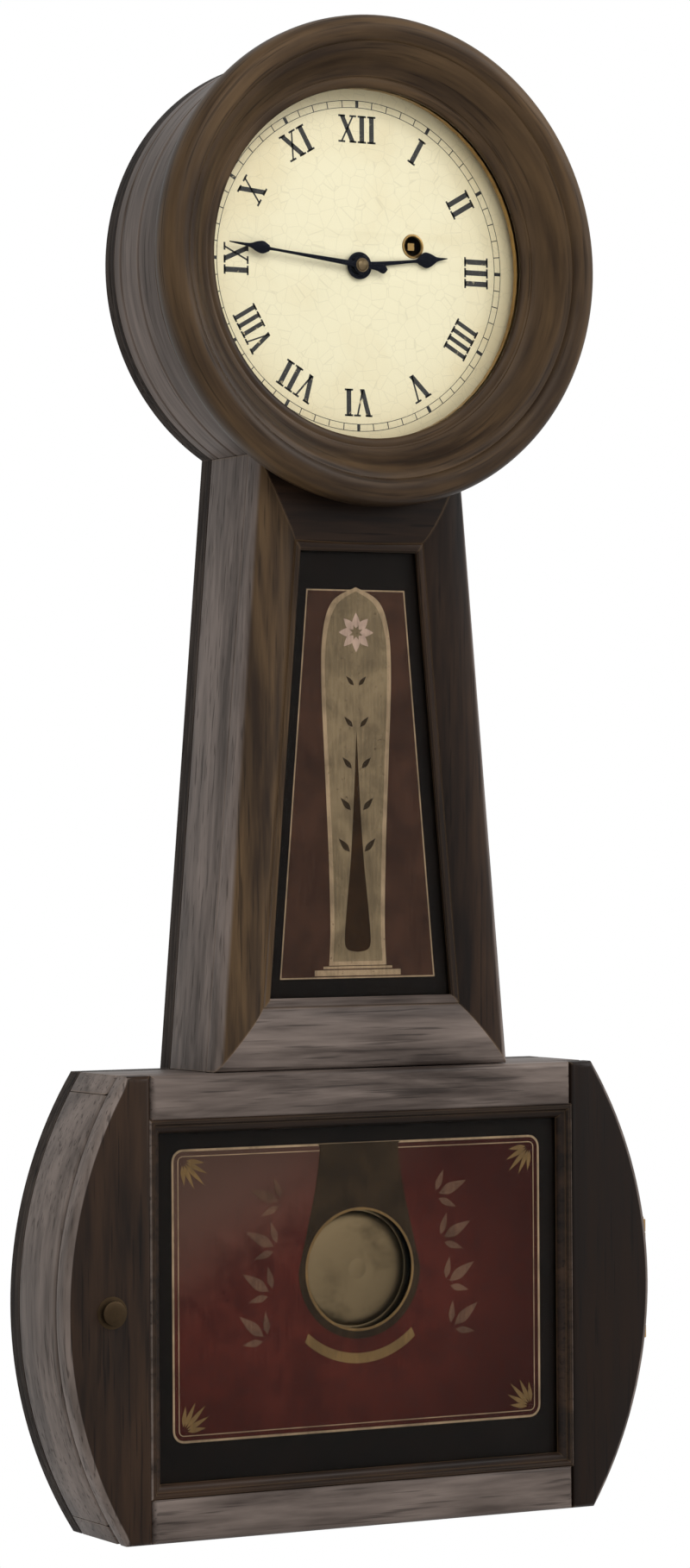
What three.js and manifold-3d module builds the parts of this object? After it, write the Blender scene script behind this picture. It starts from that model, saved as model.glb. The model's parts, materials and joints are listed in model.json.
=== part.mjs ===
// A wall-hung banjo clock: a round head, a tapered throat and a lower box with curved sides.
// Millimetres, +Z up. The origin lies on the wall face of the backboard, on the dial's axis.
// +X is the viewer's right and -Y points at the viewer. Depths are distances from the wall.

import * as THREE from 'three';
import { mergeVertices } from 'three/addons/utils/BufferGeometryUtils.js';
import Module from 'manifold-3d';

const wasm = await Module();
wasm.setup();

const clock = new THREE.Group();
const full_turn = 2 * Math.PI;
const degree = Math.PI / 180;

// Clearances
const fit = 0.3;              // between pieces that rest on each other
const running = 0.3;          // round a shaft that turns in a hole
const door_gap = 0.6;         // between a door and what it closes on
const overrun = 2;            // how far a cutting solid runs past what it cuts
const weld = 0.001;           // corners this close are one corner

// Facets round a full circle
const case_sides = 56;
const wheel_sides = 24;
const shaft_sides = 10;
const hole_sides = 10;
const bob_sides = 32;

// Head
const drum_radius = 109;
const drum_wall = 15;
const dial_ledge = 5.5;       // how far the dial reaches over the drum's wall
const dial_thickness = 1.2;
const dial_hole_radius = 4.6;
const winding_hole_radius = 5;
const bezel_overhang = 10.5;  // how far the bezel stands out past the drum
const bezel_width = 34;       // from the bezel's edge to the glass that shows
const bezel_thickness = 27;
const bezel_gap = 0.5;        // between the throat's frame and the bezel
const bezel_glass_thickness = 2.2;
const bezel_lip = 1.5;
const bezel_seat = 3.8;       // how far the glass reaches under the lip
const retaining_ring_width = 3;
const retaining_ring_thickness = 3.2;

// Case boards and the two glazed frames
const backboard_thickness = 10;
const board_thickness = 9;
const throat_top_half = 59;
const throat_top = -123;      // height at which the throat has its top half-width
const throat_bottom_half = 81.5;
const box_top = -393;
const box_height = 223.5;
const box_middle_half = 163;
const box_bulge = 33;         // how much wider the box is at its middle than at its corners
const throat_stile = 28;
const throat_top_rail = 31;
const throat_bottom_rail = 35;
const door_stile = 46;
const door_rail = 22;
const glass_seat = 5;         // how far a glass reaches under its frame
const frame_lip = 6;          // thickness of a frame in front of its glass
const glass_thickness = 2;
const bead_thickness = 3.4;
const baffle_thickness = 2.5;
const baffle_drop = 10;       // from the drum's bore down to the baffle

// Hinges and catches
const hinge_length = 20;
const knuckle_radius = 2.3;
const hinge_pin_radius = 1.2;
const leaf_thickness = 1.2;
const leaf_width = 13;
const bezel_hinge_height = 22;
const door_hinge_height = 20;
const stud_radius = 2;
const stud_reach = 4.5;
const latch_shaft_radius = 2.5;
const latch_knob_radius = 6;
const latch_knob_thickness = 3;
const tongue_length = 19;
const tongue_reach = 3.5;       // how far the turned tongue enters the side board
const tongue_half_width = 3;
const tongue_thickness = 2.4;
const tongue_from_front = 8;
const hanger_half_width = 14;
const hanger_height = 44;
const hanger_thickness = 1.8;
const hanger_from_top = 39;
const hanger_hole_radius = 5;
const hanger_slot_half = 2.2;
const nail_pocket_depth = 6;

// Movement
const plate_thickness = 2.5;
const plate_half_width = 42;
const plate_above_anchor = 17;
const plate_bottom = -42;
const plate_corner = 5;
const pillar_radius = 3;
const pillar_neck_radius = 2.2;
const pillar_inset = 6;
const screw_radius = 1.5;
const screw_head_radius = 3;
const screw_head_thickness = 2;
const screw_in_board = 7;
const screw_from_side = 18;
const shaft_radius = 1.1;
const pivot_radius = 0.8;

// Going train: teeth, sizes, and the gaps in depth from one wheel to the next
const great_teeth = 90;
const center_pinion_teeth = 6;
const center_teeth = 60;
const third_pinion_teeth = 6;
const third_teeth = 49;
const escape_pinion_teeth = 6;
const escape_teeth = 30;
const great_angle = 20 * degree;
const center_module = 0.72;
const third_from_center = 3.987; // from the third wheel's teeth to the hand shaft's middle
const escape_from_center = 1.788; // from the center wheel's teeth to the escape shaft's middle
const escape_radius = 15;
const anchor_reach_share = 1.4;
const wheel_thickness = 1.5;
const great_thickness = 2;
const great_gap = 2.2;        // from the back plate to the great wheel
const third_gap = 0.65;       // from the line to the third wheel
const center_gap = 5.3;       // from the third wheel to the center wheel
const escape_gap = 3.5;       // from the center wheel to the escape wheel
const front_gap = 2;          // from the escape wheel to the front plate
const pinion_margin = 0.8;    // how far a pinion runs past the wheel that drives it

// Barrel, line, pulley and weight
const line_radius = 0.55;
const line_turn_radius = 9.5;
const line_pitch = 1.6;
const line_turns = 2;
const line_sides = 6;
const line_from_flange = 0.45;
const fall_from_center = 6.396; // from the hand shaft to the line's fixed fall
const line_stud_radius = 1.6;
const barrel_from_wheel = 2;  // from the center wheel's teeth to the line on the barrel
const flange_rise = 1.5;
const flange_thickness = 1.2;
const barrel_end_gap = 3.1;   // from the barrel to the front plate
const barrel_gap = 0.1;       // between the line and the drum that it lies on
const ratchet_teeth = 16;
const ratchet_radius = 9.5;
const ratchet_tooth = 1.1;
const ratchet_thickness = 1.1;
const ratchet_gap = 0.2;
const click_height = 1.2;
const click_reach = 5;
const click_half_width = 1.6;
const click_clearance = 0.9;
const winding_shaft_radius = 2.2;
const winding_pivot_radius = 1.6;
const winding_square = 3.6;
const square_from_plate = 3;
const square_from_dial = 0.7;
const pulley_rim = 1.6;
const pulley_thickness = 5;
const pulley_shaft_radius = 2;
const stirrup_drop = 8.4;     // from the pulley's rim down to the weight
const strap_thickness = 1.4;
const strap_half_width = 5;
const weight_width = 60;
const weight_height = 110;
const weight_thickness = 20;
const weight_chamfer = 6;
const weight_gap = 1.5;       // between the weight and the baffle
const weight_floor_gap = 13.5;

// Motion work and hands
const cannon_teeth = 16;
const minute_teeth = 48;
const minute_pinion_teeth = 12;
const hour_teeth = 48;
const motion_module = 0.6;
const minute_angle = 200 * degree;
const cannon_gap = 1.7;       // from the pendulum rod to the cannon pinion
const hour_gap = 1.9;         // from the minute wheel to the hour wheel
const dial_gap = 3;           // from the hour wheel to the dial
const motion_thickness = 1.3;
const hour_pipe_radius = 3.4;
const cannon_pipe_radius = 2.3;
const collet_radius = 2.2;
const collet_thickness = 1.2;
const post_radius = 1.2;
const post_from_dial = 1.5;
const hour_hand_gap = 1.3;
const minute_hand_gap = 1.4;
const hand_thickness = 0.8;
const hour_hand_length = 50;
const minute_hand_inset = 12.5; // from the minute hand's tip to the bezel's sight
const hand_tail_share = 0.2;
const hand_hub_wall = 3;
const hour_hand_angle = 83 * degree;   // clockwise from 12: the hands show 2:46
const minute_hand_angle = 276 * degree;

// Pendulum
const bob_rise = 13.25;       // the bob hangs this far above the middle of the box
const rod_gap = 1;            // from the crutch to the pendulum rod
const rod_thickness = 1.5;
const rod_half_width = 3;
const loop_half_width = 8;
const loop_bar = 2.5;
const loop_half_height = 13;
const crutch_gap = 0.6;       // from the front plate to the crutch
const crutch_thickness = 1.4;
const crutch_height = 20;
const crutch_half_width = 2;
const crutch_pin_radius = 0.9;
const bob_radius = 32;
const bob_thickness = 11;
const bob_edge = 2;
const rod_screw_radius = 1.4;
const rod_screw_rise = 4;
const nut_radius = 6;
const nut_thickness = 5;
const rod_end = 15;
const case_gap = 2.5;         // from the pendulum rod to the front edges of the side boards
const spring_thickness = 0.4;
const spring_width = 4.4;
const spring_top = 8;
const spring_bottom = 5.7;
const bridge_half_width = 9;
const bridge_arm_half_width = 4;
const bridge_slot_half = 0.9;
const bridge_foot_thickness = 1.7;
const bridge_foot_bottom = 7;  // above the pendulum's turning point, as the next three
const bridge_foot_top = 16;
const bridge_arm_bottom = 4.5;
const bridge_arm_top = 11;

// Shares of the tooth pitch, and of the module for the heights above and below the pitch circle
const wheel_tip_share = 0.08;
const leaf_tip_share = 0.06;
const leaf_root_share = 0.15;
const wheel_addendum_share = 0.85;
const wheel_dedendum_share = 1.3;
const leaf_addendum_share = 0.75;
const leaf_dedendum_share = 1.35;

// Depths from the wall, each worked out from what lies behind it
const board_front = backboard_thickness + fit;
const back_plate_depth = board_front;
const plates_inside = back_plate_depth + plate_thickness;
const great_depth = plates_inside + great_gap;
const ratchet_back = great_depth + great_thickness + running;
const barrel_back = ratchet_back + ratchet_thickness + ratchet_gap;
const line_start = barrel_back + flange_thickness + line_from_flange + line_radius;
const line_depth = line_start + line_pitch * line_turns;
const third_depth = line_depth + line_radius + third_gap;
const center_depth = third_depth + wheel_thickness + center_gap;
const escape_depth = center_depth + wheel_thickness + escape_gap;
const front_plate_depth = escape_depth + wheel_thickness + front_gap;
const front_plate_face = front_plate_depth + plate_thickness;
const barrel_front = front_plate_depth - barrel_end_gap;
const baffle_depth = line_depth + weight_thickness / 2 + weight_gap;
const crutch_depth = front_plate_face + crutch_gap;
const rod_depth = crutch_depth + crutch_thickness + rod_gap;
const rod_front = rod_depth + rod_thickness;
const rod_middle = rod_depth + rod_thickness / 2;
const side_front = rod_front + case_gap;
const cannon_back = rod_front + cannon_gap;
const minute_depth = cannon_back + pinion_margin;
const hour_depth = minute_depth + motion_thickness + hour_gap;
const dial_back = hour_depth + motion_thickness + dial_gap;
const hour_hand_depth = dial_back + dial_thickness + hour_hand_gap;
const minute_hand_depth = hour_hand_depth + hand_thickness + minute_hand_gap;
const door_back = side_front + door_gap;
const frame_back = side_front + fit;
const glass_back = door_back + bead_thickness + fit;
const glass_front = glass_back + glass_thickness;
const case_front = glass_front + fit + frame_lip;
const bezel_back = case_front + bezel_gap;
const drum_front = bezel_back - door_gap;

// Radii, widths and heights
const drum_bore = drum_radius - drum_wall;
const dial_seat_radius = drum_bore + dial_ledge;
const bezel_radius = drum_radius + bezel_overhang;
const sight_radius = bezel_radius - bezel_width;
const minute_hand_length = sight_radius - minute_hand_inset;
const hanger_middle = drum_radius - hanger_from_top;
const throat_glass_top = -drum_radius - throat_top_rail;
const throat_glass_bottom = box_top + throat_bottom_rail;
const baffle_top = -drum_bore - baffle_drop;
const box_corner_half = box_middle_half - box_bulge;
const box_bottom = box_top - box_height;
const box_middle = box_top - box_height / 2;
const box_arc_radius = ((box_height / 2) ** 2 + box_bulge ** 2) / (2 * box_bulge);
const door_glass_half = box_middle_half - door_stile;

// Places of the shafts on the dial plane
const center_radius = center_module * center_teeth / 2;
const center_outer = center_radius + wheel_addendum_share * center_module;
const great_distance = center_radius + barrel_from_wheel + line_turn_radius;
const great_x = great_distance * Math.cos(great_angle);
const great_z = great_distance * Math.sin(great_angle);
const great_module = 2 * great_distance / (great_teeth + center_pinion_teeth);
const center_third = center_module * (center_teeth + third_pinion_teeth) / 2;
const third_module = (center_third - third_from_center) / (third_teeth / 2 + wheel_addendum_share);
const third_escape = third_module * (third_teeth + escape_pinion_teeth) / 2;
const escape_height = center_outer + escape_from_center;
const third_z = (center_third ** 2 - third_escape ** 2 + escape_height ** 2) / (2 * escape_height);
const third_x = -Math.sqrt(center_third ** 2 - third_z ** 2);
const anchor_reach = escape_radius * anchor_reach_share;
const anchor_height = escape_height + anchor_reach;
const plate_top = anchor_height + plate_above_anchor;
const motion_distance = motion_module * (cannon_teeth + minute_teeth) / 2;
const hour_module = 2 * motion_distance / (minute_pinion_teeth + hour_teeth);
const minute_x = motion_distance * Math.cos(minute_angle);
const minute_z = motion_distance * Math.sin(minute_angle);
const fall_right = great_x - line_turn_radius;
const fall_left = -fall_from_center;
const pulley_turn_radius = (fall_right - fall_left) / 2;
const pulley_x = (fall_left + fall_right) / 2;
const weight_bottom = box_bottom + board_thickness + weight_floor_gap;
const weight_top = weight_bottom + weight_height;
const pulley_height = weight_top + stirrup_drop + pulley_rim + pulley_turn_radius;
const bob_height = box_middle + bob_rise;

// Finishes
const finishes = {
  dark_wood: { color: 0x3b2a20, roughness: 0.45, metalness: 0 },
  inner_wood: { color: 0x6b5138, roughness: 0.7, metalness: 0 },
  brass: { color: 0xb08d4f, roughness: 0.35, metalness: 1 },
  steel: { color: 0x8d9096, roughness: 0.3, metalness: 1 },
  blued_steel: { color: 0x1a1c26, roughness: 0.35, metalness: 0.8 },
  lead: { color: 0x5a5c60, roughness: 0.7, metalness: 0.6 },
  gut: { color: 0xb9a06c, roughness: 0.6, metalness: 0 },
  dial_paint: { color: 0xf6ecd0, roughness: 0.5, metalness: 0 },
  clear_glass: { color: 0xeef4f2, roughness: 0.05, metalness: 0 },
  painted_glass: { color: 0x43211a, roughness: 0.15, metalness: 0 },
};

function addPiece(name, finish, geometry, place = [0, 0], turn = 0) {
  // Hangs one named piece in the clock, at a place on the dial plane and turned about Y.
  const piece = new THREE.Mesh(geometry, new THREE.MeshStandardMaterial(finishes[finish]));
  piece.name = name;
  piece.position.set(place[0], 0, place[1]);
  piece.rotation.y = -turn;
  clock.add(piece);
  return piece;
}

// Shapes

const at = (x, z) => new THREE.Vector2(x, z);

function circle(x, z, radius, sides) {
  const points = [];
  for (let i = 0; i < sides; i += 1) {
    const angle = full_turn * i / sides;
    points.push(at(x + radius * Math.cos(angle), z + radius * Math.sin(angle)));
  }
  return points;
}

function rectangle(left, right, low, high) {
  return [at(left, low), at(right, low), at(right, high), at(left, high)];
}

function slab(outline, back, front, holes = []) {
  // An outline in X and Z, given thickness between two depths.
  const shape = new THREE.Shape(outline);
  shape.holes = holes.map((hole) => new THREE.Path(hole));
  const geometry = new THREE.ExtrudeGeometry(shape, { depth: front - back, bevelEnabled: false });
  geometry.rotateX(Math.PI / 2);
  geometry.translate(0, -back, 0);
  return geometry;
}

function turned(profile, sides) {
  // A profile of [radius, depth] from the back, out, forward and in again, turned about Y.
  const points = profile.map(([radius, depth]) => at(radius, -depth));
  return new THREE.LatheGeometry(points.reverse(), sides);
}

function upright(x, depth, radius, low, high, sides) {
  // A round bar along Z.
  const geometry = new THREE.CylinderGeometry(radius, radius, high - low, sides);
  geometry.rotateX(Math.PI / 2);
  geometry.translate(x, -depth, (low + high) / 2);
  return geometry;
}

function steppedShaft(steps, sides = shaft_sides) {
  // A shaft on Y from steps of [radius, back depth, front depth], each starting where one ends.
  const profile = [[0, steps[0][1]]];
  for (const [radius, back, front] of steps) {
    profile.push([radius, back], [radius, front]);
  }
  profile.push([0, steps[steps.length - 1][2]]);
  return turned(profile, sides);
}

function toSolid(geometry) {
  const merged = geometry.clone();
  merged.deleteAttribute('normal');
  merged.deleteAttribute('uv');
  const welded = mergeVertices(merged, weld);
  const corners = welded.index.array;
  const kept = [];
  for (let i = 0; i < corners.length; i += 3) {
    const [a, b, c] = [corners[i], corners[i + 1], corners[i + 2]];
    if (a !== b && b !== c && c !== a) {
      kept.push(a, b, c);
    }
  }
  const vertProperties = new Float32Array(welded.attributes.position.array);
  const triVerts = new Uint32Array(kept);
  return new wasm.Manifold(new wasm.Mesh({ numProp: 3, vertProperties, triVerts }));
}

function toGeometry(solid) {
  const mesh = solid.getMesh();
  const geometry = new THREE.BufferGeometry();
  geometry.setAttribute('position', new THREE.BufferAttribute(mesh.vertProperties, 3));
  geometry.setIndex(new THREE.BufferAttribute(mesh.triVerts, 1));
  geometry.computeVertexNormals();
  return geometry;
}

function join(...geometries) {
  return toGeometry(geometries.map(toSolid).reduce((whole, next) => whole.add(next)));
}

function cut(geometry, ...tools) {
  return toGeometry(tools.map(toSolid).reduce((left, tool) => left.subtract(tool), toSolid(geometry)));
}

// Case outlines

function throatHalf(height) {
  const slope = (throat_bottom_half - throat_top_half) / (throat_top - box_top);
  return throat_top_half + slope * (throat_top - height);
}

function throatOutline(inset, low, high) {
  const wide = throatHalf(low) - inset;
  const narrow = throatHalf(high) - inset;
  return [at(-wide, low), at(wide, low), at(narrow, high), at(-narrow, high)];
}

function boxHalf(height) {
  const rise = Math.sqrt(box_arc_radius ** 2 - (height - box_middle) ** 2);
  return box_middle_half - box_arc_radius + rise;
}

function boxEdge(inset, low, high) {
  // The right-hand curved edge from low to high, drawn in by the inset.
  const steps = 14;
  const centre = box_middle_half - box_arc_radius;
  const radius = box_arc_radius - inset;
  const points = [];
  for (let i = 0; i <= steps; i += 1) {
    const height = low + (high - low) * i / steps;
    points.push(at(centre + Math.sqrt(radius ** 2 - (height - box_middle) ** 2), height));
  }
  return points;
}

function boxOutline() {
  const right = boxEdge(0, box_bottom, box_top);
  const left = right.map((point) => at(-point.x, point.y)).reverse();
  return [...right, ...left];
}

function handed(outline, hand) {
  // The same outline on the right for hand 1, or on the left for hand -1.
  return outline.map((point) => at(hand * point.x, point.y));
}

// Case

function headCutter() {
  return slab(circle(0, 0, drum_radius + fit, case_sides), -overrun, case_front + overrun);
}

function backboard() {
  const overlap = box_top - board_thickness;
  const head = slab(circle(0, 0, drum_radius, case_sides), 0, backboard_thickness);
  const throat = slab(throatOutline(0, overlap, -drum_bore), 0, backboard_thickness);
  const box = slab(boxOutline(), 0, backboard_thickness);
  const plate_recess = slab(
    rectangle(
      -hanger_half_width - fit,
      hanger_half_width + fit,
      hanger_middle - hanger_height / 2 - fit,
      hanger_middle + hanger_height / 2 + fit,
    ),
    -overrun,
    hanger_thickness + fit,
  );
  const pocket = slab(
    rectangle(
      -hanger_hole_radius,
      hanger_hole_radius,
      hanger_middle - hanger_hole_radius * 2,
      hanger_middle + hanger_hole_radius * 3,
    ),
    0,
    nail_pocket_depth,
  );
  const screw_holes = screwPlaces().map(([x, z]) => slab(
    circle(x, z, screw_radius + fit, hole_sides),
    backboard_thickness - screw_in_board - fit,
    backboard_thickness + overrun,
  ));
  return cut(join(head, throat, box), plate_recess, pocket, ...screw_holes);
}

function hangerPlate() {
  // An iron plate with a round hole for the nail's head and a slot above it for its shank.
  const outline = rectangle(
    -hanger_half_width,
    hanger_half_width,
    hanger_middle - hanger_height / 2,
    hanger_middle + hanger_height / 2,
  );
  const slot_top = hanger_middle + hanger_hole_radius * 2;
  const hole = slab(circle(0, hanger_middle, hanger_hole_radius, wheel_sides), -overrun, overrun * 2);
  const slot = slab(
    rectangle(-hanger_slot_half, hanger_slot_half, hanger_middle, slot_top),
    -overrun,
    overrun * 2,
  );
  return cut(slab(outline, 0, hanger_thickness), hole, slot);
}

function hingeAxis(door) {
  // Where a hinge's pin stands, for the bezel or for the box door.
  if (door === 'bezel') {
    return { x: drum_radius + fit + knuckle_radius, depth: drum_front + door_gap / 2 };
  }
  return { x: box_middle_half + fit + knuckle_radius, depth: side_front + door_gap / 2 };
}

function leafRecess(door, height, side) {
  // The shallow seat that is cut for a leaf: side -1 for the case, 1 for the door.
  const { x, depth } = hingeAxis(door);
  const inner = depth + side * door_gap / 4;
  const outer = depth + side * (door_gap / 4 + leaf_thickness + fit);
  const outline = rectangle(
    x - leaf_width - fit,
    x + overrun,
    height - hinge_length / 2 - fit,
    height + hinge_length / 2 + fit,
  );
  return slab(outline, Math.min(inner, outer), Math.max(inner, outer));
}

function knuckleRecess(door, height) {
  const { x, depth } = hingeAxis(door);
  const reach = hinge_length / 2 + fit;
  return upright(x, depth, knuckle_radius + door_gap, height - reach, height + reach, wheel_sides);
}

function hingeLeaf(door, height, side) {
  // A brass leaf. The case leaf has the outer knuckles and the pin, the door leaf the middle one.
  const { x, depth } = hingeAxis(door);
  const thin = depth + side * door_gap / 4;
  const thick = depth + side * (door_gap / 4 + leaf_thickness);
  const [back, front] = [Math.min(thin, thick), Math.max(thin, thick)];
  const half = hinge_length / 2;
  const knuckle_half = half / 3;
  const flat = slab(rectangle(x - leaf_width, x, height - half, height + half), back, front);
  const clear = upright(
    x,
    depth,
    knuckle_radius + running,
    height - half - fit,
    height + half + fit,
    wheel_sides,
  );
  const spans = side < 0
    ? [[-half, -knuckle_half - running / 2], [knuckle_half + running / 2, half]]
    : [[-knuckle_half + running / 2, knuckle_half - running / 2]];
  const knuckles = spans.map(([low, high]) => join(
    upright(x, depth, knuckle_radius, height + low, height + high, hole_sides),
    slab(rectangle(x - knuckle_radius * 2, x, height + low, height + high), back, front),
  ));
  const leaf = join(cut(flat, clear), ...knuckles);
  if (side < 0) {
    return join(leaf, upright(x, depth, hinge_pin_radius, height - half, height + half, hole_sides));
  }
  const bore = upright(x, depth, hinge_pin_radius + running, height - half, height + half, wheel_sides);
  return cut(leaf, bore);
}

function headDrum() {
  // The round wall of the head, open below into the throat and stepped in front for the dial.
  const ring = turned([
    [drum_bore, board_front],
    [drum_radius, board_front],
    [drum_radius, drum_front],
    [dial_seat_radius, drum_front],
    [dial_seat_radius, dial_back - fit],
    [drum_bore, dial_back - fit],
    [drum_bore, board_front],
  ], case_sides);
  const neck = slab(
    throatOutline(board_thickness, -drum_radius - overrun, -drum_bore / 2),
    board_front - overrun,
    side_front,
  );
  const stud_hole = slab(
    circle(-studPlace(), 0, stud_radius + fit, hole_sides),
    bezel_back - stud_reach - fit - door_gap,
    drum_front + overrun,
  );
  const recesses = [-1, 1].map((way) => leafRecess('bezel', way * bezel_hinge_height, -1));
  return cut(ring, neck, stud_hole, ...recesses);
}

function studPlace() {
  return (drum_radius + dial_seat_radius) / 2;
}

function throatSide(hand) {
  // A side board of the throat, its top fitted round the drum. Hand is 1 for right, -1 for left.
  const low = box_top + fit;
  const high = -drum_bore / 2;
  const outline = [
    at(throatHalf(low) - board_thickness, low),
    at(throatHalf(low), low),
    at(throatHalf(high), high),
    at(throatHalf(high) - board_thickness, high),
  ];
  return cut(slab(handed(outline, hand), board_front, side_front), headCutter());
}

function throatFrame() {
  const opening = throatOutline(throat_stile, throat_glass_bottom, throat_glass_top);
  const seat = throatOutline(
    throat_stile - glass_seat,
    throat_glass_bottom - glass_seat,
    throat_glass_top + glass_seat,
  );
  const frame = slab(throatOutline(0, box_top + fit, -drum_bore), frame_back, case_front, [opening]);
  const seat_cut = slab(seat, frame_back - overrun, case_front - frame_lip);
  return cut(frame, seat_cut, headCutter());
}

function glazing(outline, opening) {
  // A glass and the bead that holds it from behind, in one glazed frame.
  return {
    glass: slab(outline, glass_back, glass_front),
    bead: slab(outline, glass_back - fit - bead_thickness, glass_back - fit, [opening]),
  };
}

function throatGlazing() {
  const inset = throat_stile - glass_seat + fit;
  const outline = throatOutline(
    inset,
    throat_glass_bottom - glass_seat + fit,
    throat_glass_top + glass_seat - fit,
  );
  return glazing(outline, throatOutline(throat_stile, throat_glass_bottom, throat_glass_top));
}

function boxTopHalf(hand) {
  // One half of the box's top, from the throat's opening to the curved side.
  const low = box_top - board_thickness;
  const inner = throat_bottom_half - board_thickness;
  const outline = [
    at(inner, low),
    at(boxHalf(low), low),
    at(boxHalf(box_top), box_top),
    at(inner, box_top),
  ];
  return slab(handed(outline, hand), board_front, side_front);
}

function boxBottomBoard() {
  const high = box_bottom + board_thickness;
  const outline = [
    at(-boxHalf(box_bottom), box_bottom),
    at(boxHalf(box_bottom), box_bottom),
    at(boxHalf(high), high),
    at(-boxHalf(high), high),
  ];
  return slab(outline, board_front, side_front);
}

function boxSide(hand, cuts = []) {
  const low = box_bottom + board_thickness + fit;
  const high = box_top - board_thickness - fit;
  const outline = [...boxEdge(0, low, high), ...boxEdge(board_thickness, low, high).reverse()];
  return cut(slab(handed(outline, hand), board_front, side_front), ...cuts);
}

function doorHingeHeights() {
  return [-1, 1].map((way) => box_middle + way * door_hinge_height);
}

function weightBaffle() {
  const half = throat_bottom_half - board_thickness - fit;
  const low = box_bottom + board_thickness + fit;
  const top_half = throatHalf(baffle_top) - board_thickness - fit;
  const knee_half = throatHalf(box_top) - board_thickness - fit;
  const outline = [
    at(-half, low),
    at(half, low),
    at(knee_half, box_top),
    at(top_half, baffle_top),
    at(-top_half, baffle_top),
    at(-knee_half, box_top),
  ];
  return slab(outline, baffle_depth, baffle_depth + baffle_thickness);
}

function addCase() {
  addPiece('backboard', 'dark_wood', backboard());
  addPiece('hanger_plate', 'steel', hangerPlate());
  addPiece('head_drum', 'dark_wood', headDrum());
  addPiece('dial', 'dial_paint', slab(
    circle(0, 0, dial_seat_radius - fit, case_sides),
    dial_back,
    dial_back + dial_thickness,
    [
      circle(0, 0, dial_hole_radius, wheel_sides),
      circle(great_x, great_z, winding_hole_radius, wheel_sides),
    ],
  ));
  addPiece('throat_side_right', 'dark_wood', throatSide(1));
  addPiece('throat_side_left', 'dark_wood', throatSide(-1));
  addPiece('throat_frame', 'dark_wood', throatFrame());
  const { glass, bead } = throatGlazing();
  addPiece('throat_glass', 'painted_glass', glass);
  addPiece('throat_glass_bead', 'dark_wood', bead);
  addPiece('box_top_right', 'dark_wood', boxTopHalf(1));
  addPiece('box_top_left', 'dark_wood', boxTopHalf(-1));
  addPiece('box_bottom_board', 'dark_wood', boxBottomBoard());
  const hinge_seats = doorHingeHeights().map((height) => leafRecess('box', height, -1));
  addPiece('box_side_right', 'dark_wood', boxSide(1, hinge_seats));
  addPiece('box_side_left', 'dark_wood', boxSide(-1, [latchMortise()]));
  addPiece('weight_baffle', 'inner_wood', weightBaffle());
}

// Bezel

// Each point is [share of the ring's width out from the sight, share of its thickness forward].
const bezel_face_share = [
  [0.75, 0],
  [0.79, 0.11],
  [0.90, 0.26],
  [0.985, 0.47],
  [1, 0.66],
  [0.97, 0.85],
  [0.88, 0.97],
  [0.76, 1],
  [0.62, 0.93],
  [0.44, 0.74],
  [0.26, 0.50],
  [0.10, 0.34],
  [0, 0.30],
];

const bezel_seat_front = bezel_back + bezel_thickness * bezel_face_share.at(-1)[1] - bezel_lip;

function bezelRing() {
  const seat_radius = sight_radius + bezel_seat;
  const face = bezel_face_share.map(([out, forward]) => [
    sight_radius + out * bezel_width,
    bezel_back + forward * bezel_thickness,
  ]);
  const ring = turned([
    [seat_radius, bezel_back],
    ...face,
    [sight_radius, bezel_seat_front],
    [seat_radius, bezel_seat_front],
    [seat_radius, bezel_back],
  ], case_sides);
  const seats = [-1, 1].flatMap((way) => [
    leafRecess('bezel', way * bezel_hinge_height, 1),
    knuckleRecess('bezel', way * bezel_hinge_height),
  ]);
  return cut(ring, ...seats);
}

function addBezel() {
  addPiece('bezel_ring', 'dark_wood', bezelRing());
  const radius = sight_radius + bezel_seat - fit;
  const front = bezel_seat_front - fit;
  const back = front - bezel_glass_thickness;
  addPiece('bezel_glass', 'clear_glass', slab(circle(0, 0, radius, case_sides), back, front));
  addPiece('bezel_retaining_ring', 'brass', slab(
    circle(0, 0, radius, case_sides),
    back - fit - retaining_ring_thickness,
    back - fit,
    [circle(0, 0, radius - retaining_ring_width, case_sides)],
  ));
  addPiece('bezel_catch_stud', 'brass', slab(
    circle(-studPlace(), 0, stud_radius, hole_sides),
    bezel_back - stud_reach,
    bezel_back - fit,
  ));
}

// Box door

const tongue_back = side_front - tongue_from_front;

function latchPlace() {
  return [tongue_length - tongue_reach - box_middle_half + board_thickness, box_middle];
}

function boxDoorFrame() {
  const half = door_glass_half;
  const low = box_bottom + door_rail;
  const high = box_top - door_rail;
  const frame = slab(boxOutline(), door_back, case_front, [rectangle(-half, half, low, high)]);
  const reach = half + glass_seat;
  const seat = slab(
    rectangle(-reach, reach, low - glass_seat, high + glass_seat),
    door_back - overrun,
    case_front - frame_lip,
  );
  const leaf_seats = doorHingeHeights().map((height) => leafRecess('box', height, 1));
  const latch_hole = slab(
    circle(...latchPlace(), latch_shaft_radius + running, wheel_sides),
    door_back - overrun,
    case_front + overrun,
  );
  return cut(frame, seat, latch_hole, ...leaf_seats);
}

function boxDoorGlazing() {
  const half = door_glass_half;
  const low = box_bottom + door_rail;
  const high = box_top - door_rail;
  const reach = glass_seat - fit;
  const outline = rectangle(-half - reach, half + reach, low - reach, high + reach);
  return glazing(outline, rectangle(-half, half, low, high));
}

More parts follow.
